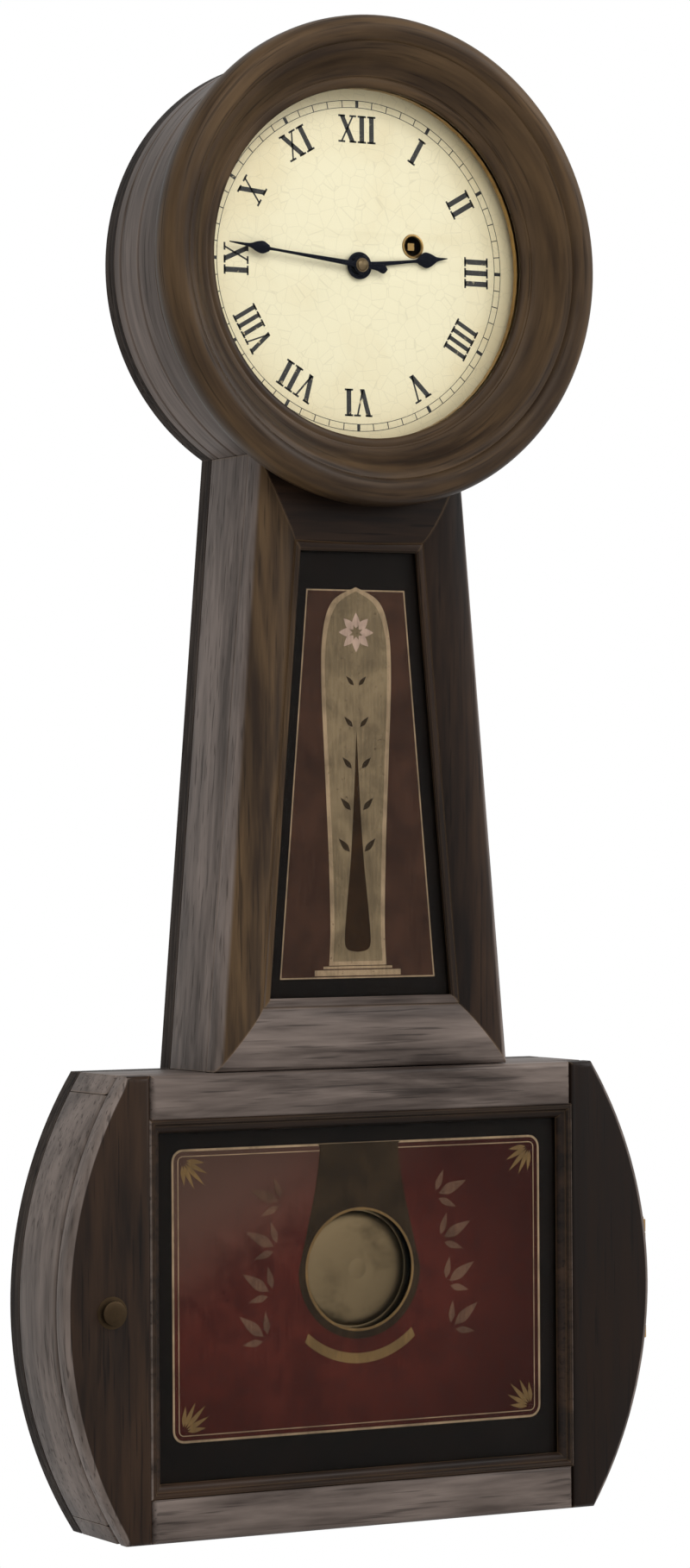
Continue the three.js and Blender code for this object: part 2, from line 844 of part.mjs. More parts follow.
function boxLatch() {
  // A knob outside, a shaft through the stile and a tongue that hangs down when it is unlocked.
  const knob_back = case_front + fit;
  const shaft = steppedShaft([
    [latch_shaft_radius, tongue_back, knob_back],
    [latch_knob_radius, knob_back, knob_back + latch_knob_thickness],
  ], wheel_sides);
  const tongue = slab(
    rectangle(-tongue_half_width, tongue_half_width, -tongue_length, 0),
    tongue_back,
    tongue_back + tongue_thickness,
  );
  return join(shaft, tongue);
}

function latchMortise() {
  // The slot in the left side board that the tongue turns up into.
  const inner = box_middle_half - board_thickness;
  return slab(
    rectangle(
      -inner - tongue_reach - door_gap,
      -inner + overrun,
      box_middle - tongue_length,
      box_middle + tongue_half_width + door_gap,
    ),
    tongue_back - fit,
    tongue_back + tongue_thickness + fit,
  );
}

function addBoxDoor() {
  addPiece('box_door_frame', 'dark_wood', boxDoorFrame());
  const { glass, bead } = boxDoorGlazing();
  addPiece('box_door_glass', 'painted_glass', glass);
  addPiece('box_door_glass_bead', 'dark_wood', bead);
  addPiece('box_door_latch', 'brass', boxLatch(), latchPlace());
}

function addHinges() {
  for (const [name, way] of [['lower', -1], ['upper', 1]]) {
    const bezel_height = way * bezel_hinge_height;
    addPiece(`bezel_hinge_${name}_case_leaf`, 'brass', hingeLeaf('bezel', bezel_height, -1));
    addPiece(`bezel_hinge_${name}_door_leaf`, 'brass', hingeLeaf('bezel', bezel_height, 1));
    const door_height = box_middle + way * door_hinge_height;
    addPiece(`box_hinge_${name}_case_leaf`, 'brass', hingeLeaf('box', door_height, -1));
    addPiece(`box_hinge_${name}_door_leaf`, 'brass', hingeLeaf('box', door_height, 1));
  }
}

// Movement frame

function platePlaces() {
  // Where the four pillars stand.
  const side = plate_half_width - pillar_inset;
  const [low, high] = [plate_bottom + pillar_inset, plate_top - pillar_inset];
  return [[-side, low], [side, low], [-side, high], [side, high]];
}

function screwPlaces() {
  const side = plate_half_width - screw_from_side;
  return [[-side, plate_bottom + pillar_inset], [side, plate_top - pillar_inset]];
}

function plateOutline() {
  const corner_steps = 4;
  const points = [];
  const corners = [
    [plate_half_width - plate_corner, plate_top - plate_corner, 0],
    [plate_corner - plate_half_width, plate_top - plate_corner, 1],
    [plate_corner - plate_half_width, plate_bottom + plate_corner, 2],
    [plate_half_width - plate_corner, plate_bottom + plate_corner, 3],
  ];
  for (const [x, z, quarter] of corners) {
    for (let i = 0; i <= corner_steps; i += 1) {
      const angle = (quarter + i / corner_steps) * full_turn / 4;
      points.push(at(x + plate_corner * Math.cos(angle), z + plate_corner * Math.sin(angle)));
    }
  }
  return points;
}

function movementPlate(depth, holes) {
  const rings = holes.map(([x, z, radius]) => circle(x, z, radius + running, hole_sides));
  return slab(plateOutline(), depth, depth + plate_thickness, rings);
}

function backPlate() {
  const plate = movementPlate(back_plate_depth, [
    [0, 0, pivot_radius],
    [third_x, third_z, pivot_radius],
    [0, escape_height, pivot_radius],
    [0, anchor_height, pivot_radius],
    [great_x, great_z, winding_pivot_radius],
    ...screwPlaces().map(([x, z]) => [x, z, screw_radius]),
  ]);
  const line_stud = slab(
    circle(fall_left, great_z, line_stud_radius, hole_sides),
    back_plate_depth + plate_thickness / 2,
    line_depth - line_radius - fit,
  );
  return join(plate, line_stud);
}

function frontPlate() {
  const plate = movementPlate(front_plate_depth, [
    [0, 0, shaft_radius],
    [third_x, third_z, pivot_radius],
    [0, escape_height, pivot_radius],
    [0, anchor_height, shaft_radius],
    [great_x, great_z, winding_shaft_radius],
    ...screwPlaces().map(([x, z]) => [x, z, screw_radius]),
  ]);
  const post = slab(
    circle(minute_x, minute_z, post_radius, hole_sides),
    front_plate_depth + plate_thickness / 2,
    dial_back - post_from_dial,
  );
  return join(plate, post);
}

function pillar() {
  const back = plates_inside + fit;
  const front = front_plate_depth - fit;
  const collar = pillar_radius;
  return steppedShaft([
    [pillar_radius, back, back + collar],
    [pillar_neck_radius, back + collar, front - collar],
    [pillar_radius, front - collar, front],
  ]);
}

function movementScrew() {
  const under_head = front_plate_face + fit;
  return steppedShaft([
    [screw_radius, backboard_thickness - screw_in_board, under_head],
    [screw_head_radius, under_head, under_head + screw_head_thickness],
  ]);
}

function suspensionBridge() {
  const back = front_plate_face + fit;
  const arm_back = back + bridge_foot_thickness;
  const spring_back = rod_depth - fit;
  const foot = slab(
    rectangle(
      -bridge_half_width,
      bridge_half_width,
      anchor_height + bridge_foot_bottom,
      anchor_height + bridge_foot_top,
    ),
    back,
    arm_back,
  );
  const arm = slab(
    rectangle(
      -bridge_arm_half_width,
      bridge_arm_half_width,
      anchor_height + bridge_arm_bottom,
      anchor_height + bridge_arm_top,
    ),
    (back + arm_back) / 2,
    spring_back + spring_width + fit * 2,
  );
  const slot = slab(
    rectangle(
      -bridge_slot_half,
      bridge_slot_half,
      anchor_height + bridge_arm_bottom - overrun,
      anchor_height + spring_top + fit,
    ),
    spring_back - fit,
    spring_back + spring_width + fit,
  );
  const behind = slab(
    rectangle(
      -bridge_arm_half_width - fit,
      bridge_arm_half_width + fit,
      anchor_height + bridge_arm_bottom - overrun,
      anchor_height + bridge_foot_bottom,
    ),
    back - overrun,
    spring_back - fit * 2,
  );
  return cut(join(foot, arm), slot, behind);
}

function addMovementFrame() {
  addPiece('movement_back_plate', 'brass', backPlate());
  addPiece('movement_front_plate', 'brass', frontPlate());
  const names = ['lower_left', 'lower_right', 'upper_left', 'upper_right'];
  platePlaces().forEach((place, i) => addPiece(`pillar_${names[i]}`, 'brass', pillar(), place));
  const [lower, upper] = screwPlaces();
  addPiece('movement_screw_lower', 'steel', movementScrew(), lower);
  addPiece('movement_screw_upper', 'steel', movementScrew(), upper);
  addPiece('suspension_bridge', 'brass', suspensionBridge());
}

// Wheels

// Shares of a wheel's radius.
const escape_root_share = 0.84;
const hub_share = 0.2;
const rim_share = 0.84;
const escape_rim_share = 0.7;

function toothPoints(teeth, corners) {
  // Each corner is [share of a pitch from the tooth's middle, radius].
  const points = [];
  for (let i = 0; i < teeth; i += 1) {
    for (const [share, radius] of corners) {
      const angle = full_turn * (i + share) / teeth;
      points.push(at(radius * Math.cos(angle), radius * Math.sin(angle)));
    }
  }
  return points;
}

function wheelOutline(teeth, module) {
  const radius = teeth * module / 2;
  const tip = radius + wheel_addendum_share * module;
  const root = radius - wheel_dedendum_share * module;
  return toothPoints(teeth, [[-wheel_tip_share, tip], [wheel_tip_share, tip], [1 / 2, root]]);
}

function leafOutline(teeth, module) {
  const radius = teeth * module / 2;
  const tip = radius + leaf_addendum_share * module;
  const root = radius - leaf_dedendum_share * module;
  return toothPoints(teeth, [
    [-leaf_root_share, root],
    [-leaf_tip_share, tip],
    [leaf_tip_share, tip],
    [leaf_root_share, root],
  ]);
}

function windows(hub, rim) {
  // Four openings that leave a wheel its four arms.
  const arms = 4;
  const arm_share = 0.1;
  const outer_steps = 4;
  const inner_steps = 2;
  const holes = [];
  for (let i = 0; i < arms; i += 1) {
    const points = [];
    for (let k = 0; k <= outer_steps; k += 1) {
      const angle = full_turn * (i + arm_share + (1 - 2 * arm_share) * k / outer_steps) / arms;
      points.push(at(rim * Math.cos(angle), rim * Math.sin(angle)));
    }
    for (let k = inner_steps; k >= 0; k -= 1) {
      const share = arm_share * 2 + (1 - arm_share * 4) * k / inner_steps;
      const angle = full_turn * (i + share) / arms;
      points.push(at(hub * Math.cos(angle), hub * Math.sin(angle)));
    }
    holes.push(points);
  }
  return holes;
}

function crossedWheel(teeth, module, depth) {
  const radius = teeth * module / 2;
  const holes = windows(radius * hub_share, radius * rim_share);
  return slab(wheelOutline(teeth, module), depth, depth + wheel_thickness, holes);
}

function meshedTurn(teeth, turn, other_teeth, direction) {
  // The turn of a second wheel that puts a gap of it round a tooth of the first.
  return direction + Math.PI - (Math.PI - teeth * (direction - turn)) / other_teeth;
}

const direction = (from, to) => Math.atan2(to[1] - from[1], to[0] - from[0]);
const third_place = [third_x, third_z];
const escape_place = [0, escape_height];
const great_place = [great_x, great_z];
const minute_place = [minute_x, minute_z];
const third_turn = meshedTurn(center_teeth, 0, third_pinion_teeth, direction([0, 0], third_place));
const escape_turn = meshedTurn(
  third_teeth,
  third_turn,
  escape_pinion_teeth,
  direction(third_place, escape_place),
);
const great_turn = meshedTurn(center_pinion_teeth, 0, great_teeth, great_angle);
const minute_turn = meshedTurn(cannon_teeth, 0, minute_teeth, minute_angle);
const hour_turn = meshedTurn(minute_pinion_teeth, minute_turn, hour_teeth, minute_angle + Math.PI);

function pinion(teeth, module, wheel_depth, thickness = wheel_thickness) {
  // The leaves that one wheel drives, a little longer than that wheel is thick.
  return slab(
    leafOutline(teeth, module),
    wheel_depth - pinion_margin,
    wheel_depth + thickness + pinion_margin,
  );
}

function plainShaft() {
  return steppedShaft([
    [pivot_radius, back_plate_depth + fit, plates_inside + fit],
    [shaft_radius, plates_inside + fit, front_plate_depth - fit],
    [pivot_radius, front_plate_depth - fit, front_plate_face - fit],
  ]);
}

function centerWheel() {
  const hand_front = minute_hand_depth + hand_thickness + fit;
  const shaft = steppedShaft([
    [pivot_radius, back_plate_depth + fit, plates_inside + fit],
    [shaft_radius, plates_inside + fit, hand_front],
    [collet_radius, hand_front, hand_front + collet_thickness],
  ]);
  return join(
    shaft,
    crossedWheel(center_teeth, center_module, center_depth),
    pinion(center_pinion_teeth, great_module, great_depth, great_thickness),
  );
}

function thirdWheel() {
  return join(
    plainShaft(),
    crossedWheel(third_teeth, third_module, third_depth),
    pinion(third_pinion_teeth, center_module, center_depth),
  );
}

function escapeWheel() {
  const root = escape_radius * escape_root_share;
  const outline = toothPoints(escape_teeth, [[0, root], [1 / 2, escape_radius], [3 / 4, root]]);
  const holes = windows(escape_radius * hub_share, escape_radius * escape_rim_share);
  return join(
    plainShaft(),
    slab(outline, escape_depth, escape_depth + wheel_thickness, holes),
    pinion(escape_pinion_teeth, third_module, third_depth),
  );
}

function greatWheel() {
  // The wheel runs on the winding shaft. Its click lies just clear of the ratchet.
  const front = great_depth + great_thickness;
  const wheel = slab(wheelOutline(great_teeth, great_module), great_depth, front, [
    circle(0, 0, winding_shaft_radius + running, hole_sides),
  ]);
  const click = slab(
    rectangle(
      ratchet_radius + click_clearance,
      ratchet_radius + click_clearance + click_reach,
      -click_half_width,
      click_half_width,
    ),
    front - click_height / 2,
    front + click_height,
  );
  return join(wheel, click);
}

function barrel() {
  const drum_surface = line_turn_radius - line_radius - barrel_gap;
  const flange_radius = line_turn_radius + flange_rise;
  const square_back = front_plate_face + square_from_plate;
  const body = steppedShaft([
    [winding_pivot_radius, back_plate_depth + fit, plates_inside + fit],
    [winding_shaft_radius, plates_inside + fit, barrel_back],
    [flange_radius, barrel_back, barrel_back + flange_thickness],
    [drum_surface, barrel_back + flange_thickness, barrel_front - flange_thickness],
    [flange_radius, barrel_front - flange_thickness, barrel_front],
    [winding_shaft_radius, barrel_front, square_back],
  ], wheel_sides);
  const ratchet = slab(
    toothPoints(ratchet_teeth, [[0, ratchet_radius], [1 / 8, ratchet_radius - ratchet_tooth]]),
    ratchet_back,
    ratchet_back + ratchet_thickness,
  );
  const half = winding_square / 2;
  const square = slab(
    rectangle(-half, half, -half, half),
    square_back - overrun,
    dial_back - square_from_dial,
  );
  return join(body, ratchet, square);
}

function minuteWheel() {
  const bore = circle(0, 0, post_radius + running, hole_sides);
  const wheel = slab(
    wheelOutline(minute_teeth, motion_module),
    minute_depth,
    minute_depth + motion_thickness,
    [bore],
  );
  const leaves = slab(
    leafOutline(minute_pinion_teeth, hour_module),
    minute_depth + motion_thickness / 2,
    hour_depth + motion_thickness + pinion_margin / 2,
    [bore],
  );
  return join(wheel, leaves);
}

function hourWheel() {
  const bore = circle(0, 0, cannon_pipe_radius + running, wheel_sides);
  const wheel = slab(
    wheelOutline(hour_teeth, hour_module),
    hour_depth,
    hour_depth + motion_thickness,
    [bore],
  );
  const pipe = slab(
    circle(0, 0, hour_pipe_radius, wheel_sides),
    hour_depth + motion_thickness / 2,
    hour_hand_depth + hand_thickness,
    [bore],
  );
  return join(wheel, pipe);
}

function cannonPinion() {
  const bore = circle(0, 0, shaft_radius + running, hole_sides);
  const leaves = slab(
    leafOutline(cannon_teeth, motion_module),
    cannon_back,
    minute_depth + motion_thickness + pinion_margin,
    [bore],
  );
  const pipe = slab(
    circle(0, 0, cannon_pipe_radius, wheel_sides),
    cannon_back + pinion_margin,
    minute_hand_depth - fit,
    [bore],
  );
  return join(leaves, pipe);
}

// Hands: half outlines in shares of the hand's length, from the centre to the tip.
const hour_hand_share = [[0.03, 0.08], [0.024, 0.6], [0.085, 0.72], [0.03, 0.84], [0, 1]];
const minute_hand_share = [[0.02, 0.05], [0.014, 0.62], [0.05, 0.71], [0.016, 0.8], [0, 1]];

function hand(length, half_share, depth, bore_radius, tail_share = 0) {
  const right = half_share.map(([x, z]) => at(x * length, z * length));
  const left = half_share.slice(0, -1).map(([x, z]) => at(-x * length, z * length)).reverse();
  const tail = half_share[0][0] * length;
  const foot = tail_share ? [at(-tail, -tail_share * length), at(tail, -tail_share * length)] : [];
  const blade = slab([...right, ...left, ...foot], depth, depth + hand_thickness);
  const hub = slab(
    circle(0, 0, bore_radius + hand_hub_wall, wheel_sides),
    depth,
    depth + hand_thickness,
  );
  const bore = slab(
    circle(0, 0, bore_radius, wheel_sides),
    depth - overrun,
    depth + hand_thickness + overrun,
  );
  return cut(join(blade, hub), bore);
}

function addTrain() {
  addPiece('center_wheel', 'brass', centerWheel());
  addPiece('third_wheel', 'brass', thirdWheel(), third_place, third_turn);
  addPiece('escape_wheel', 'brass', escapeWheel(), escape_place, escape_turn);
  addPiece('great_wheel', 'brass', greatWheel(), great_place, great_turn);
  addPiece('winding_barrel', 'brass', barrel(), great_place);
  addPiece('cannon_pinion', 'steel', cannonPinion());
  addPiece('minute_wheel', 'brass', minuteWheel(), minute_place, minute_turn);
  addPiece('hour_wheel', 'brass', hourWheel(), [0, 0], hour_turn);
  addPiece(
    'hour_hand',
    'blued_steel',
    hand(hour_hand_length, hour_hand_share, hour_hand_depth, hour_pipe_radius + fit),
    [0, 0],
    -hour_hand_angle,
  );
  addPiece(
    'minute_hand',
    'blued_steel',
    hand(
      minute_hand_length,
      minute_hand_share,
      minute_hand_depth,
      shaft_radius + running,
      hand_tail_share,
    ),
    [0, 0],
    -minute_hand_angle,
  );
}

// Escapement and pendulum

// The right half of the pallets, in shares of the anchor's height above the escape wheel.
const pallet_share = [
  [0, 0.2],
  [0.29, 0.12],
  [0.64, -0.24],
  [0.81, -0.55],
  [0.7, -0.605],
  [0.6, -0.41],
  [0.38, -0.23],
  [0, -0.17],
];

function anchor() {
  // The pallets and the crutch are fast on one shaft, which turns where the pendulum swings.
  const right = pallet_share.map(([x, z]) => at(x * anchor_reach, z * anchor_reach));
  const left = right.slice(1, -1).map((point) => at(-point.x, point.y)).reverse();
  const pallets = slab([...right, ...left], escape_depth, escape_depth + wheel_thickness);
  const shaft = steppedShaft([
    [pivot_radius, back_plate_depth + fit, plates_inside + fit],
    [shaft_radius, plates_inside + fit, crutch_depth + crutch_thickness],
  ]);
  const drop = crutch_height - anchor_height;
  const arm = slab(
    rectangle(-crutch_half_width, crutch_half_width, drop - crutch_half_width, crutch_half_width),
    crutch_depth,
    crutch_depth + crutch_thickness,
  );
  const pin = slab(
    circle(0, drop, crutch_pin_radius, hole_sides),
    crutch_depth + crutch_thickness / 2,
    rod_front + fit * 2,
  );
  return join(pallets, shaft, arm, pin);
}

function suspensionSpring() {
  const half = spring_thickness / 2;
  const back = rod_depth - fit;
  const outline = rectangle(-half, half, anchor_height - spring_bottom, anchor_height + spring_top);
  return slab(outline, back, back + spring_width);
}

function pendulumRod() {
  // A flat rod that opens into a loop round the hand shaft and ends in a screw below the bob.
  const top = anchor_height - spring_bottom - fit;
  const flat_end = bob_height - bob_radius + rod_screw_rise;
  const upper = slab(
    rectangle(-rod_half_width, rod_half_width, loop_half_height - loop_bar / 2, top),
    rod_depth,
    rod_front,
  );
  const loop = slab(
    rectangle(-loop_half_width, loop_half_width, -loop_half_height, loop_half_height),
    rod_depth,
    rod_front,
    [rectangle(
      loop_bar - loop_half_width,
      loop_half_width - loop_bar,
      loop_bar - loop_half_height,
      loop_half_height - loop_bar,
    )],
  );
  const lower = slab(
    rectangle(-rod_half_width, rod_half_width, flat_end, loop_bar / 2 - loop_half_height),
    rod_depth,
    rod_front,
  );
  const screw_end = bob_height - bob_radius - rod_end;
  const screw_top = flat_end + rod_screw_rise;
  const screw = upright(0, rod_middle, rod_screw_radius, screw_end, screw_top, shaft_sides);
  const slot_half = crutch_pin_radius + running;
  const crutch_slot = slab(
    rectangle(-slot_half, slot_half, crutch_height - slot_half * 2, crutch_height + slot_half * 2),
    rod_depth - overrun,
    rod_front + overrun,
  );
  return cut(join(upper, loop, lower, screw), crutch_slot);
}

// The bob's outline: shares of its radius, and of half its thickness over the edge's own.
const bob_dome_share = [[0.35, 0.92], [0.65, 0.68], [0.87, 0.3]];

function pendulumBob() {
  const half = bob_thickness / 2;
  const edge = bob_edge / 2;
  const dome = bob_dome_share.map(([out, rise]) => [out * bob_radius, edge + rise * (half - edge)]);
  const back = dome.map(([radius, rise]) => [radius, rod_middle - rise]);
  const front = dome.map(([radius, rise]) => [radius, rod_middle + rise]).reverse();
  const lens = turned([
    [0, rod_middle - half],
    ...back,
    [bob_radius, rod_middle - edge],
    [bob_radius, rod_middle + edge],
    ...front,
    [0, rod_middle + half],
  ], bob_sides);
  const slot_half = rod_screw_radius + running;
  const slot = slab(
    rectangle(-rod_half_width - fit, rod_half_width + fit, -bob_radius * 2, bob_radius * 2),
    rod_middle - slot_half,
    rod_middle + slot_half,
  );
  return cut(lens, slot);
}

function ratingNut() {
  const high = bob_height - bob_radius - fit;
  const low = high - nut_thickness;
  const nut = upright(0, rod_middle, nut_radius, low, high, wheel_sides);
  const bore_radius = rod_screw_radius + running;
  const bore = upright(0, rod_middle, bore_radius, low - overrun, high + overrun, shaft_sides);
  return cut(nut, bore);
}

function addPendulum() {
  addPiece('anchor', 'steel', anchor(), [0, anchor_height]);
  addPiece('suspension_spring', 'steel', suspensionSpring());
  addPiece('pendulum_rod', 'inner_wood', pendulumRod());
  addPiece('pendulum_bob', 'brass', pendulumBob(), [0, bob_height]);
  addPiece('rating_nut', 'brass', ratingNut());
}

// Weight drive

function tube(path, radius, sides) {
  // A round line along points that lie in or near an upright plane facing the viewer.
  const positions = [];
  const corners = [];
  const forward = new THREE.Vector3(0, -1, 0);
  path.forEach((point, i) => {
    const before = path[Math.max(i - 1, 0)];
    const after = path[Math.min(i + 1, path.length - 1)];
    const along = after.clone().sub(before).normalize();
    const across = along.clone().cross(forward).normalize();
    const up = across.clone().cross(along);
    for (let k = 0; k < sides; k += 1) {
      const angle = full_turn * k / sides;
      const offset = across.clone().multiplyScalar(radius * Math.cos(angle));
      offset.addScaledVector(up, radius * Math.sin(angle)).add(point);
      positions.push(offset.x, offset.y, offset.z);
    }
  });
  for (let i = 0; i < path.length - 1; i += 1) {
    for (let k = 0; k < sides; k += 1) {
      const a = i * sides + k;
      const b = i * sides + (k + 1) % sides;
      corners.push(a, b + sides, b, a, a + sides, b + sides);
    }
  }
  const last = (path.length - 1) * sides;
  for (let k = 1; k < sides - 1; k += 1) {
    corners.push(0, k, k + 1);
    corners.push(last, last + k + 1, last + k);
  }
  const geometry = new THREE.BufferGeometry();
  geometry.setAttribute('position', new THREE.Float32BufferAttribute(positions, 3));
  geometry.setIndex(corners);
  geometry.computeVertexNormals();
  return geometry;
}

const turn_steps = 24;

function barrelTurns() {
  // The turns of line left on the barrel when the weight is down.
  const count = turn_steps * line_turns;
  const points = [];
  for (let i = 0; i <= count; i += 1) {
    const angle = Math.PI - full_turn * (count - i) / turn_steps;
    const depth = line_depth - line_pitch * (count - i) / turn_steps;
    points.push(new THREE.Vector3(
      line_turn_radius * Math.cos(angle),
      -depth,
      line_turn_radius * Math.sin(angle),
    ));
  }
  return points;
}

function lineFalls() {
  // From the barrel down, round the pulley and up to the stud on the back plate.
  const steps = 12;
  const top = great_z - fit * 2;
  const points = [new THREE.Vector3(fall_right, -line_depth, top)];
  for (let i = 0; i <= steps; i += 1) {
    const angle = -Math.PI * i / steps;
    points.push(new THREE.Vector3(
      pulley_x + pulley_turn_radius * Math.cos(angle),
      -line_depth,
      pulley_height + pulley_turn_radius * Math.sin(angle),
    ));
  }
  points.push(new THREE.Vector3(fall_left, -line_depth, top));
  return points;
}

function leastGap(points, radius, steps_apart) {
  // The least distance between the surfaces of turns that lie next to each other.
  let least = Infinity;
  for (let i = 0; i < points.length; i += 1) {
    for (let k = i + steps_apart; k < points.length; k += 1) {
      least = Math.min(least, points[i].distanceTo(points[k]));
    }
  }
  return least - 2 * radius;
}

function pulley() {
  const middle = line_depth;
  const half = pulley_thickness / 2;
  const groove = pulley_turn_radius - line_radius - barrel_gap * 2;
  const rim = pulley_turn_radius + pulley_rim;
  const bore = pulley_shaft_radius + running;
  const floor_half = line_radius + barrel_gap * 2;
  return turned([
    [bore, middle - half],
    [rim, middle - half],
    [rim, middle - half + pulley_rim / 2],
    [groove, middle - floor_half],
    [groove, middle + floor_half],
    [rim, middle + half - pulley_rim / 2],
    [rim, middle + half],
    [bore, middle + half],
    [bore, middle - half],
  ], wheel_sides);
}

function pulleyStirrup() {
  const inner = pulley_thickness / 2 + fit;
  const outer = inner + strap_thickness;
  const cheek = rectangle(
    pulley_x - strap_half_width,
    pulley_x + strap_half_width,
    weight_top + fit,
    pulley_height + strap_half_width,
  );
  const foot = rectangle(
    pulley_x - strap_half_width,
    pulley_x + strap_half_width,
    weight_top + fit,
    weight_top + fit + strap_thickness * 2,
  );
  return join(
    slab(cheek, line_depth - outer, line_depth - inner),
    slab(cheek, line_depth + inner, line_depth + outer),
    slab(foot, line_depth - outer, line_depth + outer),
    slab(
      circle(pulley_x, pulley_height, pulley_shaft_radius, shaft_sides),
      line_depth - outer,
      line_depth + outer,
    ),
  );
}

function weight() {
  const half = weight_width / 2;
  const outline = [
    at(pulley_x - half + weight_chamfer, weight_bottom),
    at(pulley_x + half - weight_chamfer, weight_bottom),
    at(pulley_x + half, weight_bottom + weight_chamfer),
    at(pulley_x + half, weight_top - weight_chamfer),
    at(pulley_x + half - weight_chamfer, weight_top),
    at(pulley_x - half + weight_chamfer, weight_top),
    at(pulley_x - half, weight_top - weight_chamfer),
    at(pulley_x - half, weight_bottom + weight_chamfer),
  ];
  return slab(outline, line_depth - weight_thickness / 2, line_depth + weight_thickness / 2);
}

function addWeightDrive() {
  const turns = barrelTurns();
  const least = leastGap(turns, line_radius, turn_steps / 2);
  console.log(`least gap between turns: ${least.toFixed(2)} mm`);
  addPiece('line_on_barrel', 'gut', tube(turns, line_radius, line_sides), great_place);
  addPiece('weight_line', 'gut', tube(lineFalls(), line_radius, line_sides));
  addPiece('pulley', 'brass', pulley(), [pulley_x, pulley_height]);
  addPiece('pulley_stirrup', 'brass', pulleyStirrup());
  addPiece('weight', 'lead', weight());
}

addCase();
addBezel();
addBoxDoor();
addHinges();
addMovementFrame();
addTrain();
addPendulum();
addWeightDrive();

export default clock;
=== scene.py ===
import json
import math

import bmesh
import bpy
from bpy.props import FloatProperty, FloatVectorProperty, IntProperty, PointerProperty
from mathutils import Matrix, Quaternion, Vector


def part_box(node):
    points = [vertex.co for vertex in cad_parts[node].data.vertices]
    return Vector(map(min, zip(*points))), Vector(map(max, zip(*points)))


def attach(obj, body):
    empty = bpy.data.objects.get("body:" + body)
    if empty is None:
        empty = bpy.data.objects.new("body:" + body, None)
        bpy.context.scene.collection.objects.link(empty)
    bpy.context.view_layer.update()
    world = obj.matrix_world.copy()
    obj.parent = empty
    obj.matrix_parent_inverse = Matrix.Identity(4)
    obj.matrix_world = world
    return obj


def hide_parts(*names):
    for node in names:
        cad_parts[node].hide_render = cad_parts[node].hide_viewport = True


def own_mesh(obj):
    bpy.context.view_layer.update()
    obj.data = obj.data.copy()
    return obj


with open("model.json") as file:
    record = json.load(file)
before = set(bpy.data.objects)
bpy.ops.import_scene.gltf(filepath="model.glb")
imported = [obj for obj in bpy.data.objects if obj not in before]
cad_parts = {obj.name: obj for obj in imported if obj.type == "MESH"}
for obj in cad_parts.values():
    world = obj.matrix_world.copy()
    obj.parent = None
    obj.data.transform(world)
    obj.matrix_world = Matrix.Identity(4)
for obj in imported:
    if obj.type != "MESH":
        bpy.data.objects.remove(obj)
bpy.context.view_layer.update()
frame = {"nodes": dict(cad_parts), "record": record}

bl_info = {
    "name": "Banjo clock",
    "version": (1, 0, 0),
    "blender": (4, 5, 0),
    "location": "3D View > Sidebar > Clock",
    "description": "Dresses the packed banjo clock: case, bezel, dial, tablets, movement and stage",
    "category": "Object",
}

MM = 0.001
FULL_TURN = 2 * math.pi
QUARTER_TURN = FULL_TURN / 4
SAME_HEIGHT = 0.1 * MM          # corners of a CAD node this close in height count as level


# Places taken from the frame. Depths are distances from the wall, so a depth is -Y.

def depths(node):
    """Back and front depth of a CAD node."""
    low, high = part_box(node)
    return -high.y, -low.y


def centre(node):
    """The middle of a CAD node's box on the dial plane."""
    low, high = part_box(node)
    return (low.x + high.x) / 2, (low.z + high.z) / 2


def half_size(node):
    """Half a CAD node's width and half its height."""
    low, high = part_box(node)
    return (high.x - low.x) / 2, (high.z - low.z) / 2


def node_points(node):
    return [vertex.co for vertex in frame["nodes"][node].data.vertices]


def nearest(node, x=0.0, z=0.0):
    """How near a CAD node's corners come to a point, such as the radius of a hole there."""
    return min(math.hypot(point.x - x, point.z - z) for point in node_points(node))


def half_width(node, height):
    """How far a CAD node reaches to the right at the corner nearest to a height."""
    points = node_points(node)
    miss = min(abs(point.z - height) for point in points)
    return max(point.x for point in points if abs(point.z - height) < miss + SAME_HEIGHT)


def arc_radius(half_chord, rise):
    return (half_chord ** 2 + rise ** 2) / (2 * rise)


door_low, door_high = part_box("box_door_frame")
glass_low, glass_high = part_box("box_door_glass")
throat_glass_low, throat_glass_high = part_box("throat_glass")

BOARD = 2 * half_size("box_top_right")[1]
BOARD_FRONT = depths("backboard")[1]
SIDE_FRONT = depths("box_side_right")[1]
DRUM_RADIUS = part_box("head_drum")[1].x
DRUM_BORE = nearest("head_drum")
BEZEL_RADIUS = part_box("bezel_ring")[1].x
SIGHT_RADIUS = nearest("bezel_ring")
DIAL_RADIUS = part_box("dial")[1].x
CENTRE_HOLE = nearest("dial")
WINDING_X, WINDING_Z = centre("great_wheel")
WINDING_HOLE = nearest("dial", WINDING_X, WINDING_Z)
THROAT_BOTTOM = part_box("throat_frame")[0].z
BOX_TOP = door_high.z
BOX_BOTTOM = door_low.z
BOX_MIDDLE = (BOX_TOP + BOX_BOTTOM) / 2
BOX_WIDE = door_high.x
BOX_CORNER = half_width("box_door_frame", BOX_TOP)
BOX_ARC = arc_radius((BOX_TOP - BOX_BOTTOM) / 2, BOX_WIDE - BOX_CORNER)
LATCH_PLACE = -centre("box_door_latch")[0]
LATCH_HOLE = nearest("box_door_frame", -LATCH_PLACE, BOX_MIDDLE)
BOB_Z = centre("pendulum_bob")[1]

